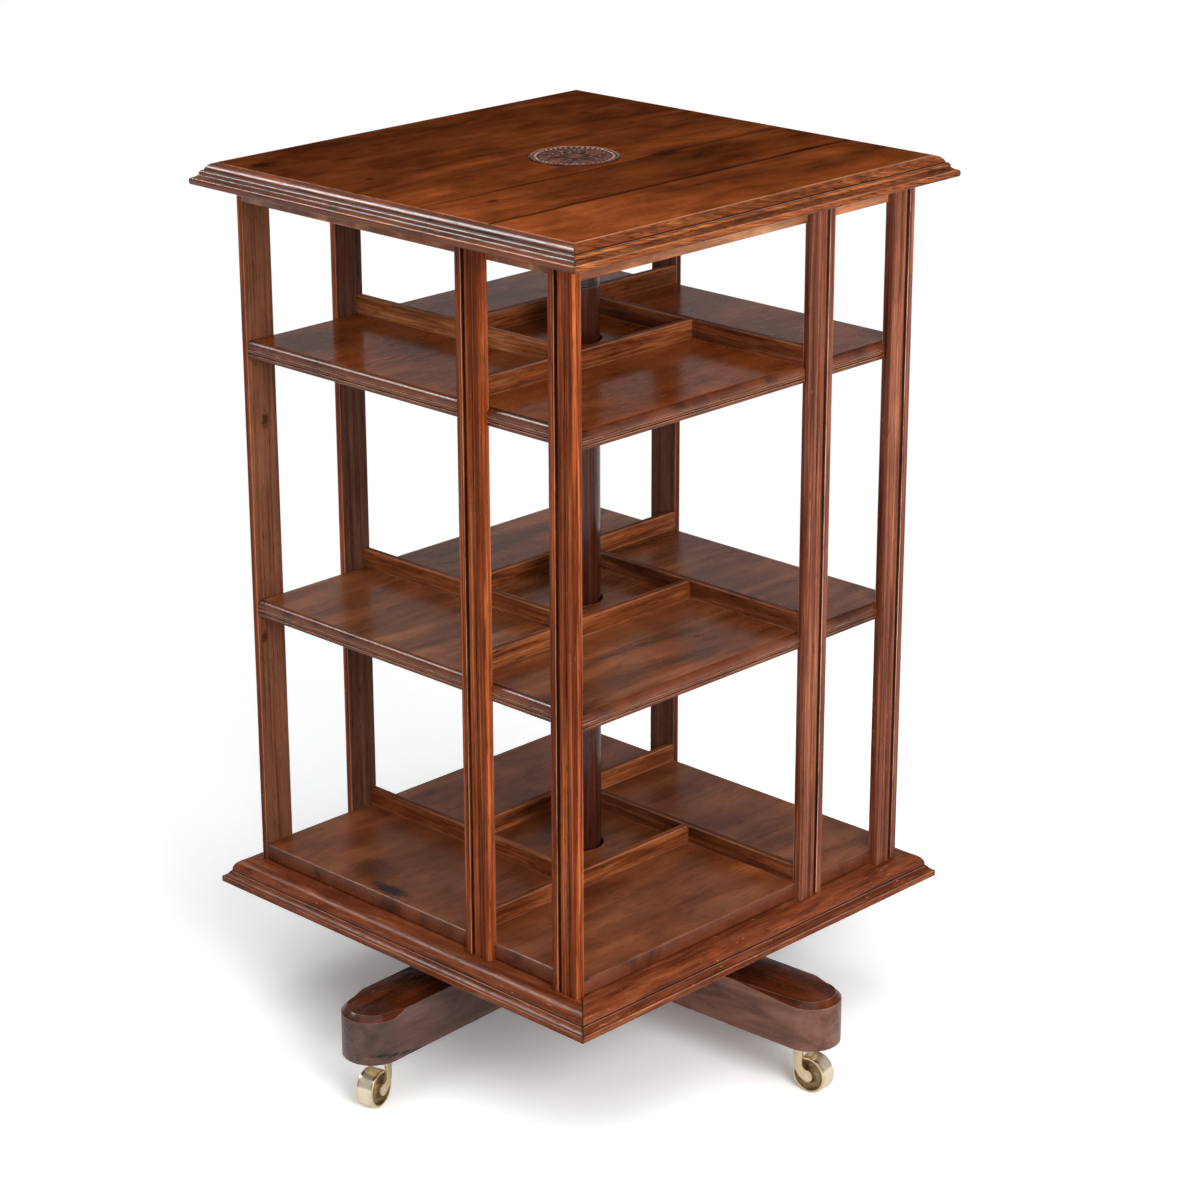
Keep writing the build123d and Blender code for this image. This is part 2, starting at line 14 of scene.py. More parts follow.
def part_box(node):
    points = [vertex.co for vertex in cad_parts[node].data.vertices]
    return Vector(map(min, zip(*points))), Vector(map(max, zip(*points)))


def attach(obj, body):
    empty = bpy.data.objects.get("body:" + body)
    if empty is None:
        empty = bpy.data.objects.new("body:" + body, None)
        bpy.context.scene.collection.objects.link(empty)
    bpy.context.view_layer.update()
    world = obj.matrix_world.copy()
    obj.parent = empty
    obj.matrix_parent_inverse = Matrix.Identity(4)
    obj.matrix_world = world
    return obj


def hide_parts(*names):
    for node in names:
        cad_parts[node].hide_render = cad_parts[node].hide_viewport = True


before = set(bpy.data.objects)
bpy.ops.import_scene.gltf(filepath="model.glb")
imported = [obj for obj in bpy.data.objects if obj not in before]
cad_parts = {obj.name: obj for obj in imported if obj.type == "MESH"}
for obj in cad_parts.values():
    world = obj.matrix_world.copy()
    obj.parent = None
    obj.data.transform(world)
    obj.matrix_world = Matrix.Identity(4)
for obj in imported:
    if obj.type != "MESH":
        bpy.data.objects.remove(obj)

log = logging.getLogger("bookcase")
MM = 0.001                                      # a millimetre in metres
GLUE = 0.05                                     # gap of a glued joint, in millimetres
UP = np.array([0.0, 0.0, 1.0])
GRAIN_ALONG_Y = np.array([[0.0, 1.0, 0.0], [1.0, 0.0, 0.0], [0.0, 0.0, 1.0]])
ARM_TURN = 2.86                                 # the cross stands turned by this, in degrees
Colour = tuple[float, float, float]


class Side(Enum):
    """The four sides of the case, in their order round it."""

    SOUTH = 0
    EAST = 1
    NORTH = 2
    WEST = 3

    @property
    def label(self) -> str:
        """Name of the side, as in the names of its nodes."""
        return self.name.lower()

    def axes(self) -> tuple[np.ndarray, np.ndarray]:
        """Direction along the side, and the direction out of it."""
        turn = radians(90.0 * self.value)
        return np.array([cos(turn), sin(turn), 0.0]), np.array([sin(turn), -cos(turn), 0.0])


class Tone(Enum):
    """How dark a piece of one kind is against the others; DARK is painted shade."""

    PLAIN = "plain"
    PALE = "pale"
    # painted shade: for strips that lie in shade
    DARK = "dark"


def linear(colour: Colour) -> tuple[float, float, float, float]:
    """Turn a colour written as 0-255 screen values into Blender's linear values.

    Args:
        colour: red, green and blue on the screen's scale of 0 to 255.

    Returns:
        The linear red, green and blue, and an alpha of 1.
    """
    share = np.asarray(colour, float) / 255.0
    value = np.where(share <= 0.04045, share / 12.92, ((share + 0.055) / 1.055) ** 2.4)
    return (*value.tolist(), 1.0)


# ---------------------------------------------------------------- profiles

def arc(start: Sequence[float], end: Sequence[float], share: float, count: int = 9) -> np.ndarray:
    """Circular arc from start to end that bulges to the left of its way by a share of its chord.

    A point at t along the chord is middle + along * t + left * (sqrt(r^2 - t^2) - r + sagitta),
    with r the radius that the chord and its sagitta give.

    Args:
        start: first point of the arc.
        end: last point of the arc.
        share: height over the chord, as a share of the chord; below zero for a hollow.
        count: number of points.

    Returns:
        An array of points, count by 2.
    """
    a, b = np.asarray(start, float), np.asarray(end, float)
    chord = np.linalg.norm(b - a)
    along = (b - a) / chord
    left = np.array([-along[1], along[0]])
    sagitta = abs(share) * chord
    radius = (chord**2 / 4 + sagitta**2) / (2 * sagitta)
    reach = np.linspace(-chord / 2, chord / 2, count)
    rise = np.sqrt(np.maximum(radius**2 - reach**2, 0.0)) - radius + sagitta
    return (a + b) / 2 + np.outer(reach, along) + np.outer(np.sign(share) * rise, left)


def oval(middle: Sequence[float], radii: Sequence[float], first: float, last: float,
         count: int) -> np.ndarray:
    """Points of an oval, middle + (radius * cos(a), other radius * sin(a)), at even angles a.

    Args:
        middle: its middle.
        radii: its two radii.
        first: angle of the first point, in degrees.
        last: angle of the last point, in degrees.
        count: number of points.

    Returns:
        An array of points, count by 2.
    """
    a = np.radians(np.linspace(first, last, count))
    return np.asarray(middle) + np.asarray(radii) * np.stack([np.cos(a), np.sin(a)], 1)


def resample(points: np.ndarray, step: float, closed: bool) -> np.ndarray:
    """Place points at even steps along a polyline.

    The place at length s is the polyline's own, by linear interpolation over its summed lengths.

    Args:
        points: corners of the polyline, n by 2.
        step: greatest distance between two points.
        closed: whether the last point joins the first.

    Returns:
        The points at even steps.
    """
    path = np.vstack([points, points[:1]]) if closed else points
    length = np.concatenate([[0.0], np.cumsum(np.linalg.norm(np.diff(path, axis=0), axis=1))])
    count = int(np.ceil(length[-1] / step)) + (0 if closed else 1)
    place = np.linspace(0.0, length[-1], count, endpoint=not closed)
    return np.stack([np.interp(place, length, path[:, i]) for i in range(path.shape[1])], 1)


def worn_profile(points: np.ndarray, wear: float = 0.32, step: float = 0.22,
                 closed: bool = True) -> tuple[np.ndarray, np.ndarray]:
    """Round every corner of a section a little, and measure how much it turns at each point.

    The section is resampled at even steps and smoothed with a bell-shaped kernel whose width is the
    wear; an open section runs on past its ends as its own mirror image. The turning is the angle
    between the directions just before and just after a point, over a right angle: above zero on
    arrises, below zero in quirks. On straight runs only each tenth point is kept.

    Args:
        points: corners of the section, anticlockwise, in millimetres.
        wear: width of the smoothing, in millimetres.
        step: distance between points, in millimetres.
        closed: whether the section is a closed outline.

    Returns:
        The points of the worn section, and the turning at each.
    """
    fine = resample(np.asarray(points, float), step, closed)
    reach = max(2, int(3 * wear / step))
    offsets = np.arange(-reach, reach + 1)
    bell = np.exp(-0.5 * (offsets * step / wear) ** 2)
    bell /= bell.sum()
    count = len(fine)
    index = np.arange(count)[:, None] + offsets[None, :]
    if closed:
        near = fine[index % count]
    else:
        inside = np.where(index < 0, -index, np.where(index >= count, 2 * count - 2 - index, index))
        near = np.where((inside != index)[..., None],
                        2 * fine[np.clip(index, 0, count - 1)] - fine[inside], fine[inside])
    smooth = (near * bell[None, :, None]).sum(1)
    span = max(2, int(0.75 / step))
    ahead = np.roll(smooth, -span, 0) - smooth
    behind = smooth - np.roll(smooth, span, 0)
    if not closed:
        ahead[-span:] = smooth[-1] - smooth[-1 - span]
        behind[:span] = smooth[span] - smooth[0]
    turn = np.arctan2(behind[:, 0] * ahead[:, 1] - behind[:, 1] * ahead[:, 0],
                      (behind * ahead).sum(1)) / (pi / 2)
    keep = (np.abs(turn) > 0.012) | (np.arange(count) % 10 == 0)
    keep[-1] |= not closed
    return smooth[keep], np.clip(turn[keep], -1.0, 1.0)


def grid_faces(rows: int, columns: int, closed_rows: bool = False) -> np.ndarray:
    """Faces of a grid whose vertex (row, column) has the number row * columns + column.

    Args:
        rows: number of rows of vertices.
        columns: number of columns of vertices; the last column joins the first.
        closed_rows: whether the last row joins the first.

    Returns:
        An array of quads, n by 4.
    """
    i, j = (part.ravel() for part in np.meshgrid(np.arange(rows if closed_rows else rows - 1),
                                                 np.arange(columns), indexing="ij"))
    i2, j2 = (i + 1) % rows, (j + 1) % columns
    return np.stack([i * columns + j, i * columns + j2, i2 * columns + j2, i2 * columns + j], 1)


def capped_faces(rows: int, columns: int) -> list:
    """Faces of a tube of rows by columns vertices, with one face over each of its ends."""
    return [*grid_faces(rows, columns).tolist(), list(range(columns)),
            list(range((rows - 1) * columns, rows * columns))[::-1]]


# ---------------------------------------------------------------- pieces

@dataclass
class Shape:
    """Points, faces and shading attributes of a piece, all lengths in millimetres."""

    points: np.ndarray
    faces: list
    grain: np.ndarray
    edge: np.ndarray


def read_vectors(elements: bpy.types.bpy_prop_collection, key: str) -> np.ndarray:
    """Read a vector of each of a mesh's vertices or faces.

    Args:
        elements: the vertices or faces.
        key: name of the vector.

    Returns:
        The vectors, as the rows of an array.
    """
    values = np.empty(len(elements) * 3)
    elements.foreach_get(key, values)
    return values.reshape(-1, 3)


def write_attributes(mesh: bpy.types.Mesh, grain: np.ndarray, edge: np.ndarray) -> None:
    """Store what the finishes read at each vertex.

    Args:
        mesh: the mesh that takes them.
        grain: place in the wood at each vertex, in metres.
        edge: how far each vertex stands on an arris, above zero, or in a quirk, below zero.
    """
    for name, kind, key, values in (("grain", "FLOAT_VECTOR", "vector", grain),
                                    ("edge", "FLOAT", "value", edge)):
        layer = mesh.attributes.new(name, kind, "POINT")
        layer.data.foreach_set(key, values.astype(np.float32).ravel())


def piece(name: str, shape: Shape, material: bpy.types.Material, body: str, node: str,
          merge: bool = False, sharp: float = 38.0) -> bpy.types.Object:
    """Make a shape into an object that rides on a body and stands for a node of the frame.

    Args:
        name: name of the object.
        shape: the piece's points, faces and attributes.
        material: its finish.
        body: the body it rides on.
        node: the node it stands for.
        merge: whether points that coincide are merged first.
        sharp: angle in degrees above which an edge is shaded sharp.

    Returns:
        The new object.
    """
    mesh = bpy.data.meshes.new(name)
    mesh.from_pydata((shape.points * MM).tolist(), [], shape.faces)
    write_attributes(mesh, shape.grain * MM, shape.edge)
    work = bmesh.new()
    work.from_mesh(mesh)
    if merge:
        bmesh.ops.remove_doubles(work, verts=work.verts, dist=2e-6)
    bmesh.ops.recalc_face_normals(work, faces=work.faces)
    work.to_mesh(mesh)
    work.free()
    return dress(name, mesh, material, body, node, sharp)


def dress(name: str, mesh: bpy.types.Mesh, material: bpy.types.Material, body: str, node: str,
          sharp: float) -> bpy.types.Object:
    """Put a finished mesh into the scene with its finish, body, node and slot.

    Args:
        name: name of the object.
        mesh: its mesh, in place.
        material: its finish.
        body: the body it rides on.
        node: the node it stands for.
        sharp: angle in degrees above which an edge is shaded sharp.

    Returns:
        The new object.
    """
    mesh.polygons.foreach_set("use_smooth", np.ones(len(mesh.polygons), bool))
    mesh.set_sharp_from_angle(angle=radians(sharp))
    mesh.materials.append(material)
    mesh.update()
    made = bpy.data.objects.new(name, mesh)
    bpy.context.collection.objects.link(made)
    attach(made, body)
    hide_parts(node)
    low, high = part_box(node)
    places = read_vectors(mesh.vertices, "co")
    off = max(np.abs(places.min(0) - low).max(), np.abs(places.max(0) - high).max()) / MM
    log.info("%s: %d faces, ends within %.2f mm of the frame's", name, len(mesh.polygons), off)
    return made


def split_finish(made: bpy.types.Object, number: np.ndarray, *more: bpy.types.Material) -> None:
    """Add finishes to a piece, and give each of its faces the one that it is for.

    Args:
        made: the piece.
        number: number of each face's finish, 0 for the one that the piece has already.
        more: the finishes to add, from number 1 on.
    """
    for material in more:
        made.data.materials.append(material)
    made.data.polygons.foreach_set("material_index", number.astype(np.int32))


def grain_offset(number: int) -> np.ndarray:
    """Shift in the figure of the wood, in millimetres, so that no two pieces look alike."""
    return np.array([317.0 * (number % 7), 0.0, 59.0 * (number % 11)])


def carry(section: np.ndarray, edge: np.ndarray, origin: np.ndarray, axes: Sequence[np.ndarray],
          half: float, mitre: float, number: int, ripple: float, joint: float) -> Shape:
    """Carry a closed section along a straight run, with mitred or square ends.

    With (o, u) a point of the section and t from -1 to 1, the point of the surface is
    origin + run * t * (half + mitre * o) + out * (o - wave) + up * u, where
    wave = ripple * a sum of three sines of the place along the run and of u, deeper on arrises.

    Args:
        section: points of the section, out and up, in millimetres.
        edge: turning at each of them.
        origin: place of the section's zero, in the middle of the run.
        axes: directions of the run, of the section's first coordinate and of its second.
        half: half the length of the run at the section's zero.
        mitre: 1 for ends cut at 45 degrees outwards, 0 for square ends.
        number: number of the piece, for its own figure.
        ripple: depth of the slight waves that hand planes leave.
        joint: value of the edge attribute at the ends, below zero for a dark joint.

    Returns:
        The bar as a closed shape.
    """
    run, out, up = (np.asarray(axis, float) for axis in axes)
    inner = np.linspace(-1 + 3.0 / half, 1 - 3.0 / half, max(3, int(2 * half / 12.0)))
    t = np.concatenate([[-1.0, -1 + 1.0 / half], inner, [1 - 1.0 / half, 1.0]])
    o, u = section[:, 0][None, :], section[:, 1][None, :]
    place = t[:, None] * (half + mitre * o)
    wave = ripple * (np.sin(place / 23.0 + number) + np.sin(place / 9.7 + 2.1 * number + u / 5.0)
                     + 0.6 * np.sin(place / 51.0 - number)) / 2.6
    wave = wave * np.minimum(1.0, (1 - np.abs(t))[:, None] * half / 6.0)
    depth = o - np.abs(wave) * (0.35 + np.clip(edge, 0, 1)[None, :])
    points = (np.asarray(origin, float) + place[..., None] * run + depth[..., None] * out
              + (u + 0 * place)[..., None] * up)
    ends = np.zeros(len(t))
    ends[[0, 1, -2, -1]] = 1.0, 0.6, 0.6, 1.0
    shade = edge[None, :] * (1 - ends[:, None]) + joint * ends[:, None]
    grain = np.stack([place + 0 * u, u + 0 * place, o + 0 * place], -1)
    return Shape(points.reshape(-1, 3), capped_faces(*place.shape),
                 grain.reshape(-1, 3) + grain_offset(number), shade.ravel())


def lathe(section: np.ndarray, edge: np.ndarray, centre: np.ndarray, axis: np.ndarray,
          number: int, turns: int = 96) -> Shape:
    """Turn a closed section of radius and height about an axis.

    With (r, h) a point of the section, the surface is
    centre + axis * h + (side * cos(a) + other * sin(a)) * r.

    Args:
        section: radius and height of each point, in millimetres.
        edge: turning at each of them.
        centre: place of the axis at height zero.
        axis: direction of the axis, of length 1.
        number: number of the piece, for its own figure.
        turns: number of steps round the axis.

    Returns:
        The turned piece as a closed shape.
    """
    side = np.cross(axis, UP if abs(axis[2]) < 0.9 else np.array([1.0, 0.0, 0.0]))
    side /= np.linalg.norm(side)
    other = np.cross(axis, side)
    a = np.linspace(0, 2 * pi, turns, endpoint=False)[:, None]
    ring = np.cos(a) * side + np.sin(a) * other
    r, h = section[:, 0], section[:, 1]
    points = centre + r[None, :, None] * ring[:, None, :] + h[None, :, None] * axis
    grain = np.stack([h[None, :] + 0 * a, r * np.cos(a), r * np.sin(a)], -1)
    return Shape(points.reshape(-1, 3), grid_faces(turns, len(r), True).tolist(),
                 grain.reshape(-1, 3) + grain_offset(number), np.tile(edge, turns))


def softened_copy(node: str, name: str, material: bpy.types.Material, body: str,
                  width: float, grain_axes: np.ndarray, number: int) -> bpy.types.Object:
    """Copy a node, merge its loose triangles and round its sharp edges in two steps.

    The middle row of each rounding gets an edge value of 0.8, so that the finish can show wear
    and a painted highlight on it.

    Args:
        node: the node to copy.
        name: name of the new piece.
        material: its finish.
        body: the body it rides on.
        width: width of the rounding in millimetres.
        grain_axes: directions along the grain, across it and through it, as rows.
        number: number of the piece, for its own figure.

    Returns:
        The new object.
    """
    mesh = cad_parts[node].data.copy()
    mesh.name = name
    mesh.materials.clear()
    work = bmesh.new()
    work.from_mesh(mesh)
    bmesh.ops.remove_doubles(work, verts=work.verts, dist=3e-6)
    bmesh.ops.dissolve_limit(work, angle_limit=radians(0.6), verts=work.verts, edges=work.edges)
    bmesh.ops.recalc_face_normals(work, faces=work.faces)
    sharp = [e for e in work.edges
             if len(e.link_faces) == 2 and e.calc_face_angle(0) > radians(28.0)]
    bent = bmesh.ops.bevel(work, geom=sharp, offset=width * MM, offset_type="OFFSET", segments=2,
                           profile=0.5, affect="EDGES", clamp_overlap=True)
    rounded = set(bent["faces"])
    worn = [bool(v.link_faces) and all(f in rounded for f in v.link_faces) for v in work.verts]
    bmesh.ops.triangulate(work, faces=[f for f in work.faces if len(f.verts) > 4])
    work.to_mesh(mesh)
    work.free()
    places = read_vectors(mesh.vertices, "co")
    write_attributes(mesh, places @ grain_axes.T + grain_offset(number) * MM,
                     np.asarray(worn, np.float32) * 0.8)
    return dress(name, mesh, material, body, node, 60.0)


def finish_node(node: str, material: bpy.types.Material) -> None:
    """Give a node of the frame its finish, in every slot of its mesh.

    Args:
        node: the node, whose own mesh is shown.
        material: its finish.
    """
    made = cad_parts[node]
    for mesh_slot in made.material_slots:
        mesh_slot.material = material
    if not made.material_slots:
        made.data.materials.append(material)


# ---------------------------------------------------------------- finishes

class Tree:
    """Adds nodes to one node tree and joins them. What it is given may be a value or a socket."""

    def __init__(self, tree: bpy.types.NodeTree) -> None:
        """Start on an empty tree."""
        self.tree = tree
        tree.nodes.clear()

    def add(self, kind: str, settings: Optional[dict] = None, **inputs: Any) -> bpy.types.Node:
        """Add a node, set its properties, and set or join its inputs.

        Args:
            kind: the node's type without its prefix.
            settings: properties of the node.
            inputs: values or output sockets, by the input's name with spaces as underscores, or by
                its number after an n.

        Returns:
            The new node.
        """
        node = self.tree.nodes.new(kind if kind.startswith("NodeGroup") else "ShaderNode" + kind)
        for name, value in (settings or {}).items():
            setattr(node, name, value)
        for name, value in inputs.items():
            number = name[1:]
            socket = node.inputs[int(number) if name[0] == "n" and number.isdigit()
                                 else name.replace("_", " ")]
            if isinstance(value, bpy.types.NodeSocket):
                self.tree.links.new(value, socket)
            else:
                socket.default_value = value
        return node

    def close(self, end: bpy.types.Node, **sockets: Any) -> bpy.types.NodeTree:
        """Join sockets to the inputs of the last node.

        Args:
            end: the last node.
            sockets: output sockets, by the names of the inputs that take them.

        Returns:
            The whole tree.
        """
        for name, socket in sockets.items():
            self.tree.links.new(socket, end.inputs[name])
        return self.tree

    def group(self, group: bpy.types.NodeTree, **inputs: Any) -> Any:
        """Outputs of a shared group, put to work in this tree."""
        return self.add("Group", {"node_tree": group}, **inputs).outputs

    def math(self, operation: str, *values: Any, clamp: bool = False) -> Any:
        """Work out one value.

        Args:
            operation: what is worked out, in the node's own word.
            values: one to three values.
            clamp: whether the result is kept from 0 to 1.

        Returns:
            The result's socket.
        """
        first, second, third = (*values, 0.0, 0.0)[:3]
        return self.add("Math", {"operation": operation, "use_clamp": clamp},
                        n0=first, n1=second, n2=third).outputs[0]

    def times(self, first: Any, second: Any, clamp: bool = False) -> Any:
        """Socket of the product of two values."""
        return self.math("MULTIPLY", first, second, clamp=clamp)

    def scaled(self, value: Any, factor: Any, base: Any, clamp: bool = False) -> Any:
        """Socket of a value times a factor, plus a base."""
        return self.math("MULTIPLY_ADD", value, factor, base, clamp=clamp)

    def vector(self, operation: str, *values: Any) -> Any:
        """Work out one vector, or the value of a length or a product.

        Args:
            operation: what is worked out, in the node's own word.
            values: one to three vectors.

        Returns:
            The result's socket.
        """
        node = self.add("VectorMath", {"operation": operation},
                        **{f"n{number}": value for number, value in enumerate(values)})
        return node.outputs["Value" if operation in ("LENGTH", "DOT_PRODUCT") else "Vector"]

    def spread(self, value: Any, low: float, high: float, to_low: float = 0.0,
               to_high: float = 1.0) -> Any:
        """Socket of a value spread smoothly from one range over another."""
        return self.add("MapRange", {"interpolation_type": "SMOOTHSTEP"}, Value=value, From_Min=low,
                        From_Max=high, To_Min=to_low, To_Max=to_high).outputs[0]

    def blend(self, amount: Any, first: Any, second: Any) -> Any:
        """Socket of the colour that two colours make by an amount."""
        return self.add("Mix", {"data_type": "RGBA"}, n0=amount, n6=first, n7=second).outputs[2]

    def noise(self, place: Any, scale: float, detail: float = 2.0, rough: float = 0.5,
              bend: float = 0.0) -> Any:
        """Socket of even noise from 0 to 1 at a place."""
        return self.add("TexNoise", {"noise_dimensions": "3D"}, Vector=place, Scale=scale,
                        Detail=detail, Roughness=rough, Distortion=bend).outputs[0]

    def drawn_noise(self, place: Any, stretch: Colour, detail: float = 2.0, rough: float = 0.5,
                    bend: float = 0.0, shift: Colour = (0.0, 0.0, 0.0)) -> Any:
        """Socket of noise at a place that is first scaled along its axes and shifted."""
        drawn = self.vector("MULTIPLY_ADD", place, stretch, shift)
        return self.noise(drawn, 1.0, detail, rough, bend)

    def combine(self, *values: Any) -> Any:
        """Socket of the vector that three values make."""
        first, second, third = values
        return self.add("CombineXYZ", n0=first, n1=second, n2=third).outputs[0]

    def separate(self, place: Any) -> Any:
        """Sockets of a vector's three values."""
        return self.add("SeparateXYZ", n0=place).outputs


def new_group(name: str, outputs: Sequence[str],
              **inputs: Optional[float]) -> tuple[Tree, dict, bpy.types.Node]:
    """Start a shared node group; its sockets named Place, Centre and Size are vectors.

    Args:
        name: the group's name.
        outputs: names of the output sockets.
        inputs: first value of each input socket, or None for a vector, by the socket's name with
            spaces as underscores.

    Returns:
        The group's tree, its input sockets by name, and the node that takes its outputs.
    """
    group = bpy.data.node_groups.new(name, "ShaderNodeTree")
    tree = Tree(group)
    sockets = [(label.replace("_", " "), "INPUT", value) for label, value in inputs.items()]
    for label, way, value in [*sockets, *((label, "OUTPUT", None) for label in outputs)]:
        kind = "Vector" if label in ("Place", "Centre", "Size") else "Float"
        socket = group.interface.new_socket(label, in_out=way, socket_type="NodeSocket" + kind)
        if value is not None:
            socket.default_value = value
    start, end = tree.add("NodeGroupInput"), tree.add("NodeGroupOutput")
    return tree, {label: start.outputs[label] for label, *_ in sockets}, end


class SharedGroups:
    """Node groups the woods share: figure, boards, marks, and wear with painted light and shade."""

    def __init__(self) -> None:
        """Build the groups once."""
        self.figure = self.build_figure()
        self.boards = self.build_boards()
        self.wear = self.build_wear()
        self.mark = self.build_mark()

    def build_figure(self) -> bpy.types.NodeTree:
        """Figure of the wood: broad clouds, growth lines, fine fibre and short dark pores.

        The clouds are noise on a place that is divided by the figure's length and width. The growth
        lines are sin(2 pi (across + 0.45 * through + 1.7 * width * clouds) / spacing), broken up by
        noise. Fibre and pores are noise that is stretched along the grain, and the pores keep only
        its highest values.

        Returns:
            The group's tree.
        """
        tree, given, end = new_group("Wood figure", ("Clouds", "Lines", "Fibre", "Pores", "Spots"),
                                     Place=None, Length=0.25, Width=0.02, Spacing=0.004)
        place, width = given["Place"], given["Width"]
        drawn = tree.vector("DIVIDE", place, tree.combine(given["Length"], width, width))
        clouds = tree.noise(drawn, 1.0, 4.0, 0.55, 0.6)
        parts = tree.separate(place)
        level = tree.math("ADD", parts[1], tree.times(parts[2], 0.45))
        run = tree.math("ADD", level, tree.times(clouds, tree.times(width, 1.7)))
        phase = tree.math("DIVIDE", run, given["Spacing"])
        wave = tree.times(tree.math("SINE", tree.times(phase, 2 * pi)), 0.5)
        broken = tree.drawn_noise(place, (9.0, 160.0, 160.0))
        return tree.close(
            end, Clouds=clouds, Lines=tree.spread(tree.math("ADD", wave, broken), 0.25, 1.1),
            Fibre=tree.spread(tree.drawn_noise(place, (14.0, 800.0, 800.0), 3.0, 0.6), 0.3, 0.7),
            Pores=tree.spread(tree.drawn_noise(place, (64.0, 980.0, 980.0)), 0.57, 0.70),
            Spots=tree.drawn_noise(place, (16.0, 26.0, 26.0), 5.0, 0.6, 0.4))

    def build_boards(self) -> bpy.types.NodeTree:
        """Boards glued edge to edge: their tone, and the thin dark seams between them.

        A board's number is how many seams lie below the place across the grain, and its tone is the
        first board's plus the steps up to it. A seam is 1 - |across - seam| / width, with a slight
        wave along it. Each board's figure is shifted by its number.

        Returns:
            The group's tree.
        """
        tree, given, end = new_group(
            "Boards", ("Place", "Tone", "Seam"), Place=None, Across=0.0, First=-0.07, Second=0.044,
            Third=0.13, Tone=1.0, Step_1=0.0, Step_2=0.0, Step_3=0.0, Wave=0.006, Width=0.0012,
            Depth_1=1.0, Depth_2=1.0, Depth_3=1.0)
        bend = tree.math("SUBTRACT", tree.drawn_noise(given["Place"], (9.0, 0.0, 0.0)), 0.5)
        across = tree.math("ADD", given["Across"], tree.times(bend, given["Wave"]))
        number, seam, tone = 0.0, 0.0, given["Tone"]
        for which, label in enumerate(("First", "Second", "Third"), 1):
            past = tree.math("SUBTRACT", across, given[label])
            beyond = tree.math("GREATER_THAN", past, 0.0)
            number = tree.math("ADD", number, beyond)
            tone = tree.scaled(beyond, given[f"Step {which}"], tone)
            off = tree.math("DIVIDE", tree.math("ABSOLUTE", past), given["Width"])
            near = tree.math("SUBTRACT", 1.0, off, clamp=True)
            seam = tree.math("MAXIMUM", seam, tree.times(near, given[f"Depth {which}"]))
        shift = tree.combine(*(tree.times(number, step) for step in (0.9, 0.37, 0.21)))
        moved = tree.vector("ADD", given["Place"], shift)
        return tree.close(end, Place=moved, Tone=tone, Seam=seam)

    def build_wear(self) -> bpy.types.NodeTree:
        """Masks: wear and painted highlight on arrises, dust and painted shade in quirks, flecks
        and scratches.

        The arris mask is the edge value above zero times patchy noise; its colour is wear and a
        painted highlight line. The quirk mask is the edge value below zero, with its own noise; its
        colour is dust and painted shade. Flecks and scratches keep only the highest values of a
        fine noise.

        Returns:
            The group's tree.
        """
        tree, given, end = new_group("Wear", ("Worn", "Grime", "Flecks", "Scratches"),
                                     Place=None, Edge=0.0, Amount=0.5, Grime=0.5, Flecks=0.3)
        place, edge = given["Place"], given["Edge"]
        patchy = tree.drawn_noise(place, (13.0, 70.0, 70.0), 5.0, 0.68)
        # arrises: real wear, and a painted highlight line along them
        worn = tree.times(tree.spread(edge, 0.08, 0.55), tree.spread(patchy, 0.30, 0.62, 0.15, 1.0))
        dirt = tree.drawn_noise(place, (30.0, 90.0, 90.0), 3.0, 0.6, shift=(4.0, 0.0, 0.0))
        # quirks: dust, and painted shade where the hollows lie in shade
        grime = tree.times(tree.spread(tree.times(edge, -1.0), 0.06, 0.45),
                           tree.spread(dirt, 0.15, 0.5, 0.55, 1.0))
        fine = tree.drawn_noise(place, (95.0, 460.0, 460.0), 3.0, 0.6)
        where = tree.drawn_noise(place, (14.0, 20.0, 20.0), shift=(0.0, 3.0, 0.0))
        scattered = tree.times(tree.spread(where, 0.42, 0.65), given["Flecks"])
        crossed = tree.drawn_noise(place, (30.0, 700.0, 700.0), 1.0, 0.5, 1.2, (0.0, 9.0, 0.0))
        return tree.close(
            end, Worn=tree.times(worn, given["Amount"], clamp=True),
            Grime=tree.times(grime, given["Grime"], clamp=True),
            Flecks=tree.times(tree.spread(fine, 0.655, 0.72), scattered, clamp=True),
            Scratches=tree.times(tree.spread(crossed, 0.66, 0.70), tree.spread(where, 0.5, 0.7),
                                 clamp=True))

    def build_mark(self) -> bpy.types.NodeTree:
        """A knot, dent, crack, or patch of the wood's tone or of painted light and shade: 1 less
        the distance from its centre over its size, made ragged.

        Returns:
            The group's tree.
        """
        tree, given, end = new_group("Mark", ("Mark",), Place=None, Centre=None, Size=None,
                                     Ragged=1.3)
        off = tree.vector("SUBTRACT", given["Place"], given["Centre"])
        share = tree.vector("DIVIDE", off, given["Size"])
        far = tree.vector("LENGTH", tree.vector("MULTIPLY", share, (1.0, 1.0, 0.0)))
        rough = tree.math("SUBTRACT", tree.noise(given["Place"], 260.0, 3.0, 0.7), 0.5)
        far = tree.scaled(rough, given["Ragged"], far)
        return tree.close(end, Mark=tree.spread(far, 0.3, 1.0, 1.0, 0.0))


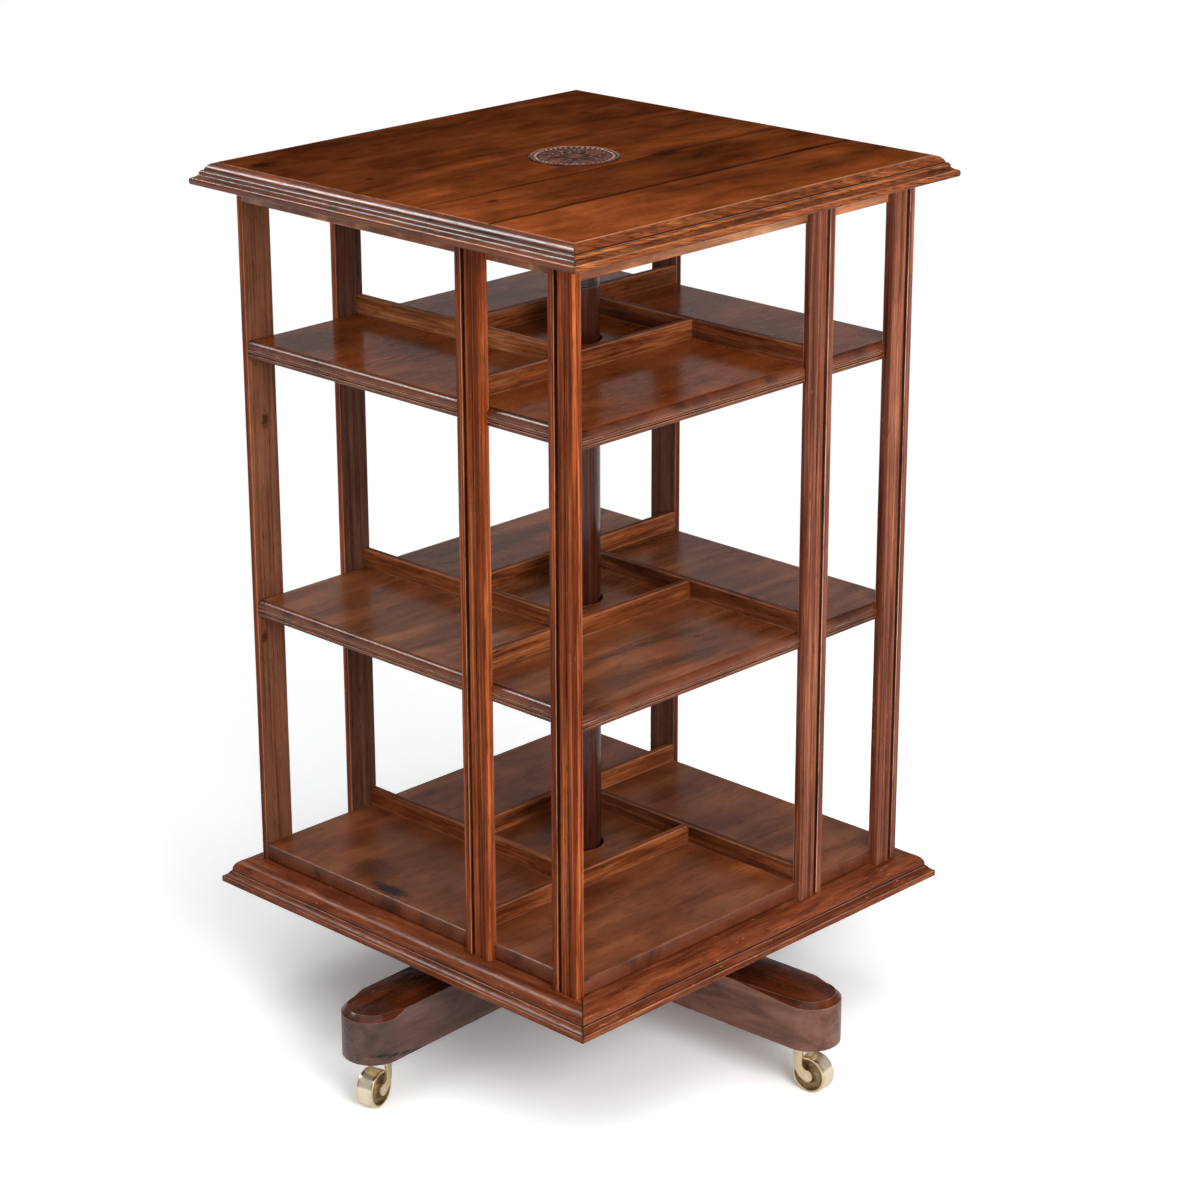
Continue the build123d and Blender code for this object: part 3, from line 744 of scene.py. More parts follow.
@dataclass(frozen=True)
class WoodFinish:
    """A polished wood: colours on the screen's scale, sizes in metres, amounts from 0 to 1.

    Seams, marks, patches and shading bands lie at places on the piece's own grain. A mark or a
    patch is its place along and across, its half length and half width, and its depth or gain.
    Patches are the wood's own tone and also painted light and shade, such as shaded shelf corners
    and a lighter front of the top. A shading band is its place across, its half width and its gain:
    painted shade in quirks and painted light on crowns of a moulded section. The shift moves marks
    and patches by what the piece's number shifts its figure.
    """

    name: str
    dark: Colour
    body: Colour
    light: Colour
    streak: Colour
    # colour of wear on arrises; it also paints the highlight lines along them
    worn: Colour = (176, 120, 88)
    # dark colour in quirks: dust and painted shade; it also colours the dark seams
    grime: Colour = (34, 17, 11)
    fleck: Colour = (150, 100, 72)
    mark: Colour = (40, 20, 12)
    figure_length: float = 0.22
    figure_width: float = 0.020
    line_spacing: float = 0.0042
    lines: float = 0.35
    fibre: float = 0.22
    pores: float = 0.5
    spots: float = 0.25
    wear: float = 0.6
    dirt: float = 0.7
    # amount of that dark quirk colour, dust and painted shade
    flecks: float = 0.4
    seams: tuple[float, ...] = ()
    tones: tuple[float, ...] = (1.0, 1.0, 1.0, 1.0)
    seam_depths: tuple[float, ...] = (0.8, 0.8, 0.8)
    seam_wave: float = 0.006
    seam_width: float = 0.0012
    marks: tuple[tuple[float, ...], ...] = ()
    # patches of the wood's own tone, and of painted light and shade
    glows: tuple[tuple[float, ...], ...] = ()
    # across a moulded section: painted shade in quirks, painted light on crowns
    bands: tuple[tuple[float, ...], ...] = ()
    shift: float = 0.0
    slant: float = 0.0
    rough: float = 0.33
    rough_spread: float = 0.16
    specular: float = 0.35
    relief: float = 0.00012

    def build(self, groups: SharedGroups) -> bpy.types.Material:
        """Build the material.

        Args:
            groups: the shared node groups.

        Returns:
            The finished material.
        """
        material = bpy.data.materials.new(self.name)
        material.use_nodes = True
        tree = Tree(material.node_tree)
        place = tree.add("Attribute", {"attribute_name": "grain"}).outputs["Vector"]
        edge = tree.add("Attribute", {"attribute_name": "edge"}).outputs["Fac"]
        figure, colour, seam = self.colours(tree, groups, place)
        wear = tree.group(groups.wear, Place=place, Edge=edge, Amount=self.wear, Grime=self.dirt,
                          Flecks=self.flecks)
        # Arrises take the light colour of wear, which also paints highlight lines; quirks take the
        # dark quirk colour, dust and painted shade.
        coats = [(wear["Worn"], self.worn), (wear["Flecks"], self.fleck),
                 (wear["Grime"], self.grime)]
        rise = tree.scaled(figure["Pores"], -1.0, tree.times(figure["Fibre"], 0.35))
        rise = tree.scaled(wear["Scratches"], -0.5, rise)
        if seam is not None:
            coats.append((seam, self.grime))
            rise = tree.scaled(seam, -3.0, rise)
        for amount, coat in coats:
            colour = tree.blend(amount, colour, linear(coat))
        dull = tree.scaled(figure["Spots"], self.rough_spread, self.rough - self.rough_spread / 2)
        dull = tree.scaled(figure["Pores"], 0.22, dull)
        dull = tree.scaled(wear["Grime"], 0.25, dull)
        dull = tree.scaled(wear["Scratches"], 0.2, dull, clamp=True)
        normal = tree.add("Bump", Height=rise, Strength=0.5, Distance=self.relief).outputs[0]
        skin = tree.add("BsdfPrincipled", Base_Color=colour, Roughness=dull, Normal=normal,
                        Specular_IOR_Level=self.specular)
        tree.close(tree.add("OutputMaterial"), Surface=skin.outputs[0])
        return material

    def colours(self, tree: Tree, groups: SharedGroups, place: Any) -> tuple[Any, Any, Any]:
        """Colour of the clean wood, from its boards, figure, lines, fibre, pores and marks, with
        patches of tone and painted light and shade, and bands of painted shade and light across its
        section.

        Args:
            tree: the material's tree.
            groups: the shared node groups.
            place: socket of the place on the piece.

        Returns:
            The figure's outputs, the colour's socket, and the seam's socket or None.
        """
        seam, tone, drawn = None, None, place
        if self.seams:
            steps = np.diff(self.tones).tolist()
            boards = tree.group(
                groups.boards, Place=place,
                Across=tree.vector("DOT_PRODUCT", place, (0.0, 1.0, 0.0)), Tone=self.tones[0],
                Wave=self.seam_wave, Width=self.seam_width,
                **dict(zip(("First", "Second", "Third"), self.seams)),
                **{f"Step_{which}": step for which, step in enumerate(steps, 1)},
                **{f"Depth_{which}": depth for which, depth in enumerate(self.seam_depths, 1)})
            drawn, seam, tone = boards["Place"], boards["Seam"], boards["Tone"]
        if self.slant:
            drawn = tree.add("Mapping", Vector=drawn, Rotation=(0.0, 0.0, self.slant)).outputs[0]
        figure = tree.group(groups.figure, Place=drawn, Length=self.figure_length,
                            Width=self.figure_width, Spacing=self.line_spacing)
        ramp = tree.add("ValToRGB", Fac=figure["Clouds"])
        stops = ramp.color_ramp.elements
        stops[0].position, stops[0].color = 0.30, linear(self.dark)
        stops[1].position, stops[1].color = 0.72, linear(self.light)
        stops.new(0.50).color = linear(self.body)
        colour = tree.blend(tree.times(figure["Lines"], self.lines), ramp.outputs[0],
                            linear(self.streak))
        fibre = tree.scaled(figure["Fibre"], self.fibre, 1 - self.fibre / 2)
        spots = tree.spread(figure["Spots"], 0.3, 0.7, 1 - self.spots / 2, 1 + self.spots / 2)
        shade = tree.times(fibre, spots)
        if tone is not None:
            shade = tree.times(shade, tone)
        shade = tree.times(shade, tree.scaled(figure["Pores"], -self.pores, 1.0))
        # patches that lighten or darken: the wood's own tone, and painted light and shade
        for *where, gain in self.glows:
            glow = self.spot(tree, groups, place, where, 0.7)
            shade = tree.times(shade, tree.scaled(glow, gain, 1.0))
        # bands across the section: painted shade in the quirks and painted light on the crowns
        for y, width, gain in self.bands:
            off = tree.math("SUBTRACT", tree.separate(place)[1], y)
            band = tree.spread(tree.math("ABSOLUTE", off), width * 0.4, width, 1.0, 0.0)
            shade = tree.times(shade, tree.scaled(band, gain, 1.0))
        colour = tree.add("VectorMath", {"operation": "SCALE"}, n0=colour, Scale=shade).outputs[0]
        for *where, depth in self.marks:
            amount = tree.times(self.spot(tree, groups, place, where, 1.3), depth)
            colour = tree.blend(amount, colour, linear(self.mark))
        return figure, colour, seam

    def spot(self, tree: Tree, groups: SharedGroups, place: Any, where: Sequence[float],
             ragged: float) -> Any:
        """Socket of one mark, or one patch of tone or painted light and shade: 1 in its middle, and
        0 outside its size.

        Args:
            tree: the material's tree.
            groups: the shared node groups.
            place: socket of the place on the piece.
            where: its place along and across, and its half length and half width.
            ragged: how uneven its outline is.

        Returns:
            The socket of its amount.
        """
        x, y, length, width = where
        return tree.group(groups.mark, Place=place, Ragged=ragged, Centre=(x + self.shift, y, 0.0),
                          Size=(length, width, 1.0))[0]


@dataclass(frozen=True)
class MetalFinish:
    """A metal: its colour, its dull and tarnished colour, and how rough it is."""

    name: str
    bright: Colour
    tarnish: Colour
    metallic: float = 1.0
    rough: float = 0.22
    rough_spread: float = 0.2
    patches: float = 0.5
    relief: float = 0.00005
    grain: float = 220.0

    def build(self) -> bpy.types.Material:
        """Build the material; its patches and turning marks follow the place in the frame.

        Returns:
            The finished material.
        """
        material = bpy.data.materials.new(self.name)
        material.use_nodes = True
        tree = Tree(material.node_tree)
        place = tree.add("TexCoord").outputs["Object"]
        patch = tree.noise(place, self.grain, 4.0, 0.6, 0.3)
        colour = tree.blend(tree.times(tree.spread(patch, 0.42, 0.72), self.patches),
                            linear(self.bright), linear(self.tarnish))
        fine = tree.noise(place, self.grain * 9, 2.0)
        dull = tree.scaled(patch, self.rough_spread, self.rough - self.rough_spread / 2, clamp=True)
        normal = tree.add("Bump", Height=fine, Strength=0.35, Distance=self.relief).outputs[0]
        skin = tree.add("BsdfPrincipled", Base_Color=colour, Roughness=dull, Normal=normal,
                        Metallic=self.metallic, Specular_IOR_Level=0.5)
        tree.close(tree.add("OutputMaterial"), Surface=skin.outputs[0])
        return material


KNOTS = ((0.109, -0.0016, 0.011, 0.006, 0.8), (-0.1065, 0.009, 0.008, 0.005, 0.8))
# Its light colour of wear also paints highlight lines along the arrises of the profile.
MOULDING = WoodFinish(
    "moulding_wood", (58, 24, 12), (108, 50, 24), (150, 82, 44), (66, 28, 13), worn=(206, 150, 116),
    grime=(22, 10, 6), figure_length=0.10, figure_width=0.010, lines=0.4, rough=0.17,
    rough_spread=0.12, specular=0.3, dirt=0.95, relief=0.00008)
# painted shade: darker bands in the quirks of the south moulding
MOULDING_SOUTH = replace(
    MOULDING, name="moulding_south_wood", shift=0.951, wear=0.8, rough=0.2,
    bands=((-0.0074, 0.0010, -0.5), (-0.0126, 0.0016, -0.25), (-0.0200, 0.0012, -0.4)),
    marks=((0.0633, -0.0120, 0.0020, 0.014, 1.0), (0.0655, -0.0060, 0.0040, 0.003, 0.9),
           (-0.0533, -0.0123, 0.008, 0.005, 0.5), (-0.150, -0.016, 0.010, 0.002, 0.6)))
# painted shade and light: darker and lighter bands over the east moulding's profile
MOULDING_EAST = replace(
    MOULDING, name="moulding_east_wood", dark=(110, 53, 27), body=(140, 73, 37),
    light=(182, 110, 60), streak=(84, 38, 18), worn=(226, 170, 132), figure_width=0.0060,
    figure_length=0.090, lines=0.55, line_spacing=0.0024, fibre=0.4, specular=0.10, pores=0.95,
    slant=0.13, wear=1.0, dirt=1.0,
    bands=((-0.0038, 0.0034, -0.20), (-0.0074, 0.0012, -0.6), (-0.0092, 0.0010, 0.25),
           (-0.0126, 0.0019, -0.45), (-0.0165, 0.0022, 0.12), (-0.0202, 0.0016, -0.5)))
# painted shade: darker bands in the quirks of the plinth
PLINTH = replace(
    MOULDING, name="plinth_wood", dark=(90, 42, 22), body=(122, 60, 33), light=(150, 84, 50),
    streak=(84, 38, 20), worn=(204, 148, 116), fleck=(196, 128, 92), figure_length=0.06,
    figure_width=0.007, lines=0.22, wear=0.8, flecks=1.0, pores=0.7, rough=0.24, rough_spread=0.2,
    specular=0.12,
    bands=((0.0062, 0.0010, -0.4), (0.0092, 0.0026, -0.25), (0.0118, 0.0010, -0.5),
           (0.0145, 0.0008, -0.3), (0.0004, 0.0012, -0.3)))
# painted shade in the quirks beside the bead and on one flank, painted light on the crown and the
# other flank
RAIL = replace(
    MOULDING, name="upright_wood", dark=(72, 28, 12), body=(132, 60, 27), light=(182, 102, 56),
    streak=(70, 27, 12), fleck=(196, 140, 108), figure_width=0.0048, figure_length=0.22,
    line_spacing=0.0027, lines=0.5, wear=0.75, rough=0.24, fibre=0.4, flecks=0.3, specular=0.05,
    dirt=1.0,
    bands=((0.0064, 0.0024, -0.5), (-0.0064, 0.0024, -0.5), (0.0, 0.0028, 0.10),
           (0.0165, 0.0016, 0.25), (-0.0155, 0.0022, -0.3)))
# The bright colour of wear on the east rails also paints the pale highlight along their arrises.
RAIL_EAST = replace(
    RAIL, name="upright_east_wood", dark=(78, 34, 21), body=(136, 72, 47), light=(182, 114, 80),
    streak=(78, 33, 20), worn=(224, 178, 156), wear=1.0, specular=0.16)
# Backs of the rails, which look into the case: darker, duller copies of the rail finish, as painted
# shade; the marked one also has real knots.
RAIL_BACK = replace(
    RAIL, name="upright_back_wood", dark=(70, 42, 32), body=(98, 63, 49), light=(118, 80, 63),
    streak=(74, 44, 33), wear=0.4, rough=0.45, flecks=0.15, lines=0.15, fibre=0.25, bands=())
RAIL_MARKED = replace(
    RAIL_BACK, name="upright_marked_wood", shift=0.951, dark=(92, 54, 38), body=(122, 76, 54),
    light=(138, 90, 66), marks=KNOTS)
DIVIDER = replace(
    MOULDING, name="divider_wood", dark=(84, 40, 21), body=(136, 72, 39), light=(178, 108, 64),
    streak=(86, 42, 21), worn=(216, 160, 122), figure_width=0.008, flecks=0.6, wear=0.7,
    rough=0.42, pores=0.7, specular=0.05)
# The light colour of wear also paints the highlight line along the rounded edge of the field.
TOP = WoodFinish(
    "top_wood", (78, 37, 18), (103, 50, 23), (125, 65, 30), (78, 36, 17), worn=(190, 132, 96),
    grime=(26, 11, 7), figure_length=0.10, figure_width=0.030, line_spacing=0.0060, lines=0.08,
    fibre=0.16, spots=0.5, pores=0.25, seams=(-0.069, 0.044, 0.130), tones=(0.80, 0.95, 0.85, 1.04),
    seam_width=0.0042, seam_depths=(0.25, 0.45, 0.85), seam_wave=0.009, flecks=0.15, rough=0.5,
    specular=0.0, wear=0.9,
    # the first, large patch lightens the front of the field toward the east: painted light
    glows=((-0.200, 0.130, 0.16, 0.20, 0.45), (-0.13, 0.06, 0.20, 0.05, 0.25),
           (0.10, 0.075, 0.14, 0.05, -0.30), (-0.10, -0.18, 0.22, 0.06, -0.20),
           (-0.045, -0.052, 0.18, 0.013, 0.35)),
    marks=((-0.214, -0.188, 0.020, 0.010, 0.8), (0.073, 0.044, 0.024, 0.013, 0.75),
           (-0.174, 0.070, 0.010, 0.006, 0.7), (0.156, -0.139, 0.012, 0.008, 0.6),
           (-0.187, -0.073, 0.007, 0.004, 0.8), (0.165, 0.128, 0.05, 0.006, 0.6),
           (-0.12, 0.044, 0.06, 0.0016, 0.7)))
SHELF = WoodFinish(
    "shelf_wood", (122, 58, 23), (150, 76, 33), (166, 92, 46), (124, 60, 26), grime=(24, 11, 7),
    figure_length=0.14, figure_width=0.030, lines=0.12, fibre=0.2, spots=0.5, pores=0.4,
    seams=(-0.11, 0.012, 0.125), tones=(1.0, 0.9, 1.08, 0.97), seam_depths=(0.2, 0.3, 0.3),
    rough=0.10, rough_spread=0.06, specular=0.25, wear=0.7, flecks=0.35, dirt=1.0)
SHELF_UPPER = replace(
    SHELF, shift=0.862, specular=0.21,
    # the first lightens the back of the west side, painted sheen; the second darkens the front of
    # the west end, painted shade
    glows=((0.13, -0.15, 0.13, 0.11, 0.2), (-0.185, -0.175, 0.07, 0.06, -0.5),
           (-0.19, -0.07, 0.06, 0.05, 0.25)))
SHELF_LOWER = replace(
    SHELF, name="shelf_lower_wood", dark=(88, 44, 22), body=(134, 75, 41), light=(170, 106, 65),
    streak=(104, 56, 30), shift=0.431, rough=0.24, rough_spread=0.16, specular=0.4,
    # the first lightens the back of the west side, painted sheen; the second darkens the front east
    # corner by the rails, painted shade
    glows=((0.13, -0.15, 0.13, 0.11, 0.15), (-0.21, 0.19, 0.05, 0.06, -0.4),
           (-0.08, 0.17, 0.04, 0.06, 0.35), (0.0, -0.19, 0.10, 0.03, -0.2),
           (-0.205, 0.02, 0.03, 0.05, 0.3)))
SUB_TOP = replace(
    SHELF, name="board_under_top_wood", body=(130, 75, 46), light=(182, 124, 84), shift=0.317,
    tones=(1.0, 1.0, 1.05, 1.10), specular=0.2, glows=((0.15, 0.22, 0.08, 0.05, 0.7),))
BOTTOM = replace(
    SHELF, name="bottom_wood", dark=(104, 54, 28), body=(132, 72, 40), light=(152, 91, 54),
    streak=(110, 61, 34), mark=(26, 17, 14), rough=0.30, specular=0.22, shift=1.293,
    glows=((0.095, 0.160, 0.055, 0.050, 1.0),),
    marks=((-0.206, -0.050, 0.012, 0.036, 0.95), (-0.183, -0.095, 0.027, 0.045, 0.45)))
BOARD_EDGE = replace(
    MOULDING, name="board_edge_wood", dark=(60, 28, 16), body=(106, 54, 32), light=(118, 64, 40),
    wear=0.8, dirt=1.0, spots=0.1, figure_length=0.05, figure_width=0.05, fibre=0.0, lines=0.0,
    pores=0.3, rough=0.22, specular=0.28)
# The beams' side colours are greyed: painted reflection of the pale floor. The light colour of wear
# also paints highlight lines along the chamfers.
BASE = WoodFinish(
    "base_wood", (80, 47, 35), (113, 71, 54), (134, 91, 73), (78, 44, 33), worn=(178, 144, 128),
    figure_length=0.08, figure_width=0.016, line_spacing=0.007, lines=0.12, fibre=0.12, pores=0.35,
    rough=0.24, specular=0.45, wear=0.9, spots=0.2, glows=((0.305, 0.077, 0.022, 0.06, -0.3),))
BASE_SOUTH = replace(
    BASE, name="base_south_wood", dark=(68, 44, 37), body=(95, 66, 57), light=(114, 84, 74),
    mark=(24, 14, 12), shift=0.634, glows=((-0.305, 0.077, 0.022, 0.06, -0.3),),
    marks=((-0.3040, 0.0622, 0.0110, 0.0024, 1.0), (-0.2910, 0.0597, 0.0110, 0.0024, 1.0),
           (-0.2780, 0.0570, 0.0110, 0.0024, 1.0), (-0.2640, 0.0542, 0.0120, 0.0024, 1.0)))
# darker copy for the faces that look up, without the painted reflection of the greyed sides
BASE_TOP = replace(
    BASE, name="base_top_wood", dark=(56, 22, 9), body=(78, 33, 13), light=(108, 50, 24),
    streak=(52, 20, 8), pores=0.3, rough=0.2, specular=0.25, glows=())
COLUMN = WoodFinish(
    "column_wood", (44, 18, 12), (72, 34, 23), (96, 52, 38), (46, 20, 13), worn=(130, 90, 74),
    figure_width=0.010, rough=0.13, rough_spread=0.08, specular=0.3, relief=0.00004)
# The light colour of wear also paints the highlight line on the rim and the raised carving.
MEDALLION = WoodFinish(
    "medallion_wood", (62, 32, 21), (88, 48, 33), (114, 70, 50), (64, 34, 23),
    worn=(218, 176, 150), grime=(38, 18, 12), figure_width=0.008, lines=0.2, wear=0.75,
    rough=0.28, specular=0.08)


class Finishes:
    """Every finish of the bookcase, built once and handed to the pieces."""

    def __init__(self) -> None:
        """Build the shared groups and the materials."""
        groups = SharedGroups()
        north, south, east = (finish.build(groups)
                              for finish in (MOULDING, MOULDING_SOUTH, MOULDING_EAST))
        self.moulding = {Side.SOUTH: south, Side.EAST: east, Side.NORTH: north, Side.WEST: north}
        self.plinth = PLINTH.build(groups)
        rail, east = RAIL.build(groups), RAIL_EAST.build(groups)
        self.upright = {Side.SOUTH: rail, Side.EAST: east, Side.NORTH: rail, Side.WEST: rail}
        # darker copies for the backs of the rails: painted shade
        self.upright_back, self.upright_marked = RAIL_BACK.build(groups), RAIL_MARKED.build(groups)
        self.divider = {
            Tone.PLAIN: DIVIDER.build(groups),
            Tone.PALE: replace(DIVIDER, name="divider_pale_wood", dark=(128, 70, 38),
                               body=(190, 116, 70), light=(222, 154, 100)).build(groups),
            # darker copy for strips in shade: painted shade
            Tone.DARK: replace(DIVIDER, name="divider_dark_wood", dark=(66, 32, 18),
                               body=(110, 58, 34), light=(150, 88, 56)).build(groups)}
        (self.top, self.shelf_upper, self.shelf_lower, self.sub_top, self.bottom, self.board_edge,
         self.base, self.base_south, self.base_top, self.column, self.medallion) = (
            finish.build(groups)
            for finish in (TOP, SHELF_UPPER, SHELF_LOWER, SUB_TOP, BOTTOM, BOARD_EDGE, BASE,
                           BASE_SOUTH, BASE_TOP, COLUMN, MEDALLION))
        self.iron = MetalFinish("dark_iron", (72, 62, 58), (34, 26, 24), metallic=0.55, rough=0.27,
                                patches=0.3).build()
        self.steel = MetalFinish("steel", (150, 146, 142), (96, 88, 82), rough=0.32).build()
        self.brass = MetalFinish("castor_brass", (252, 230, 192), (228, 194, 138), rough=0.2,
                                 rough_spread=0.12, patches=0.35).build()
        self.tread = MetalFinish("castor_tread", (254, 240, 212), (240, 218, 178), metallic=0.8,
                                 rough=0.24, rough_spread=0.06, patches=0.25, grain=60.0,
                                 relief=0.00001).build()
        self.dish = MetalFinish("castor_dish", (170, 146, 106), (112, 90, 58), metallic=0.9,
                                rough=0.38, patches=0.8).build()


# ---------------------------------------------------------------- the case

@dataclass
class Levels:
    """Heights above the floor in millimetres, shared by the sub-assemblies."""

    surface: float = 851.6
    subtop_top: float = 831.0
    upper_shelf: float = 682.3
    lower_shelf: float = 425.4
    bottom_board: float = 170.3
    ledge: float = 153.4
    plinth_bottom: float = 130.0
    arm_top: float = 101.8
    arm_bottom: float = 53.0


@dataclass
class SubAssembly:
    """What every sub-assembly works from; its own sizes are in millimetres too.

    Where it has them, ripple and joint are what its bars are carried with, softening is how wide
    the arrises of a copied node are rounded, and figure is the number of its first piece.
    """

    levels: Levels
    finishes: Finishes

    def build(self) -> None:
        """Build the pieces of the sub-assembly."""
        raise NotImplementedError


@dataclass
class Top(SubAssembly):
    """Flat field of boards with four mitred lengths of moulding planted round it."""

    half_x: float = 229.2
    half_y: float = 235.0
    lip: float = 0.6
    ovolo_out: float = 8.0
    ovolo_drop: float = 6.7
    ledge: float = 1.6
    bead_out: float = 1.6
    bead_drop: float = 3.8
    cove_out: float = 5.2
    cove_drop: float = 3.0
    nosing_out: float = 1.5
    bulge: float = 0.17
    hollow: float = 0.09
    ripple: float = 0.10
    joint: float = -0.3
    softening: float = 0.8
    figure: int = 3

    def section(self) -> np.ndarray:
        """Lip, ovolo, ledge, bead, cove and a round nosing, whose points lie on an oval.

        Returns:
            The outline of the moulding, out from the field and up from its surface, anticlockwise.
        """
        low = self.levels.subtop_top + GLUE - self.levels.surface
        a = (0.0, -self.lip)
        b = (self.ovolo_out, a[1] - self.ovolo_drop)
        c = (b[0] + self.ledge, b[1])
        d = (c[0] + self.bead_out, c[1] - self.bead_drop)
        e = (d[0] + self.cove_out, d[1] - self.cove_drop)
        nosing = oval((e[0], (e[1] + low) / 2), (self.nosing_out, (e[1] - low) / 2), 90, -90, 15)
        outline = np.vstack([arc(a, b, self.bulge), arc(c, d, self.bulge), arc(d, e, -self.hollow),
                             nosing, [(e[0], low), (0.0, low)]])
        return outline[::-1]

    def build(self) -> None:
        """Build the four mouldings and finish the field."""
        section, edge = worn_profile(self.section())
        sizes = ((self.half_y, self.half_x), (self.half_x, self.half_y))
        for side in Side:
            run, out = side.axes()
            reach, half = sizes[side.value % 2]
            shape = carry(section, edge, out * (reach + GLUE) + UP * self.levels.surface,
                          (run, out, UP), half, 1.0, self.figure + side.value, self.ripple,
                          self.joint)
            piece(f"moulding_top_{side.label}", shape, self.finishes.moulding[side], "case",
                  f"top_moulding_{side.label}")
        softened_copy("top_board", "field_boards", self.finishes.top, "case",
                      self.softening, GRAIN_ALONG_Y, 0)


@dataclass
class Medallion(SubAssembly):
    """Round carving let into the top: a rim, a ring of beads, twelve petals and a button."""

    radius: float = 42.0
    place: tuple[float, float] = (-5.3, 4.5)
    thickness: float = 6.7
    proud: float = 1.7
    rim: float = 3.2
    rim_soft: float = 0.45
    sink: float = 1.6
    petals: int = 12
    petal_middle: float = 23.0
    petal_half: float = 10.5
    petal_rings: tuple[tuple[float, ...], ...] = ((0.0, 0.0, 0.80, 1.5), (0.5, 4.0, 0.42, 1.15))
    beads: int = 44
    bead_ring: float = 36.3
    bead_radius: float = 1.9
    bead_rise: float = 1.35
    button: float = 8.6
    lobes: int = 8
    groove: float = 3.4
    pip: float = 2.6
    vein_deep: float = 0.55
    vein_wide: float = 0.45
    tooling: float = 0.06
    figure: int = 5
    rings: int = 110
    turns: int = 600

    def petal(self, r: np.ndarray, a: np.ndarray, turned: float, outward: float, width: float,
              rise: float) -> np.ndarray:
        """Height of one of the two rings of petals.

        A petal is rise * sqrt(1 - q^2), with q how far a place is off the petal's middle line as a
        share of its width there. A vein, deep * exp(-(off / wide)^2), runs along that line.

        Args:
            r: radius of each place.
            a: angle of each place.
            turned: how far the ring is turned, in petals.
            outward: how much farther out, and shorter to either side, the petals are.
            width: their width, as a share of the circle that is theirs.
            rise: their height.

        Returns:
            The height at each place.
        """
        step = 2 * pi / self.petals
        part = a / step + turned
        off = (part - np.round(part)) * 2
        along = (r - self.petal_middle - outward) / (self.petal_half - outward)
        reach = np.clip(1 - along**2, 0, 1) ** 0.6 * width * (0.85 + 0.25 * along)
        q = np.abs(off) / np.maximum(reach, 1e-3)
        ends = np.clip(3 * (1 - np.abs(along)), 0, 1) ** 0.5
        petal = rise * np.sqrt(np.clip(1 - q**2, 0, 1)) * ends
        vein = self.vein_deep * np.exp(-(off * r * step / 2 / self.vein_wide) ** 2)
        vein = vein * (along < 0.75)
        return petal - vein * (petal > 0.2)

    def height(self, r: np.ndarray, a: np.ndarray) -> np.ndarray:
        """Height of the carving over its ground, in millimetres.

        The rim is 1 - band^4 over its width. A bead is sqrt(1 - d^2) for the distance d from its
        middle, and the button is a dome sqrt(1 - (r / button)^2) with eight shallow lobes and a pip
        in a groove. The height at a place is the greatest of these and of both rings of petals.

        Args:
            r: radius of each place.
            a: angle of each place.

        Returns:
            The height at each place.
        """
        band = (r - (self.radius - self.rim / 2)) / (self.rim / 2)
        rim = self.sink * np.clip(1 - band**4, 0, 1)
        step = 2 * pi / self.beads
        near = (a / step - np.round(a / step)) * step * r
        squared = ((r - self.bead_ring) ** 2 + near**2) / self.bead_radius**2
        beads = self.bead_rise * np.sqrt(np.clip(1 - squared, 0, 1))
        lobes = 0.5 + 0.5 * np.cos(self.lobes * a)
        dome = self.sink * np.sqrt(np.clip(1 - (r / self.button) ** 2, 0, 1))
        button = dome * (1 - 0.3 * (1 - lobes) * np.clip(r / self.button, 0, 1))
        pip = self.sink * np.clip(1 - (r / self.pip) ** 2, 0, 1) ** 0.5
        height = np.maximum.reduce([
            rim, beads, button - 0.5 * (r < self.groove), pip,
            *(self.petal(r, a, *ring) for ring in self.petal_rings)])
        return np.clip(height, 0, self.sink)

    def build(self) -> None:
        """Build the carving as a closed disc whose top is the height at each radius and angle.

        Its edge value is how far a place stands above the mean of the places round it, and is lower
        on the ground; the finish paints wear and highlight on the raised places, and dust and
        painted shade in the hollows and on the ground.
        """
        rim = self.radius - self.rim
        r = np.concatenate([np.linspace(0.25, rim, self.rings),
                            rim + self.rim * np.linspace(0.06, 1, 14)])
        radius, angle = np.meshgrid(r, np.linspace(0, 2 * pi, self.turns, endpoint=False),
                                    indexing="ij")
        rise = self.height(radius, angle)
        rise[-1] = self.sink - self.rim_soft
        cut = rise + self.tooling * np.sin(radius * 2.1 + 3 * np.sin(7 * angle))
        beside = (np.roll(rise, 3, 1) + np.roll(rise, -3, 1)) / 2
        around = np.copy(rise)
        around[2:-2] = (rise[4:] + rise[:-4] + (beside + rise)[2:-2]) / 4
        # above zero: wear and painted highlight; below zero and on the ground: dust and painted
        # shade
        edge = np.clip((rise - around) * 2.4 - 0.45 * (rise < 0.25), -1, 1)
        crown = self.levels.surface + self.proud
        x, y = radius * np.cos(angle), radius * np.sin(angle)
        low = np.full(self.turns, crown - self.thickness)
        points = np.concatenate([
            np.stack([x, y, crown - self.sink + np.clip(cut, 0, self.sink)], -1),
            [np.stack([x[-1] * share, y[-1] * share, low], -1) for share in (1.0, 0.02)]])
        flat = points.reshape(-1, 3) + np.array([*self.place, 0.0])
        shade = np.concatenate([edge, np.zeros((2, self.turns))]).ravel()
        shape = Shape(flat, capped_faces(len(points), self.turns),
                      flat @ GRAIN_ALONG_Y + grain_offset(self.figure), shade)
        piece("carved_medallion", shape, self.finishes.medallion, "case", "medallion",
              sharp=50.0)


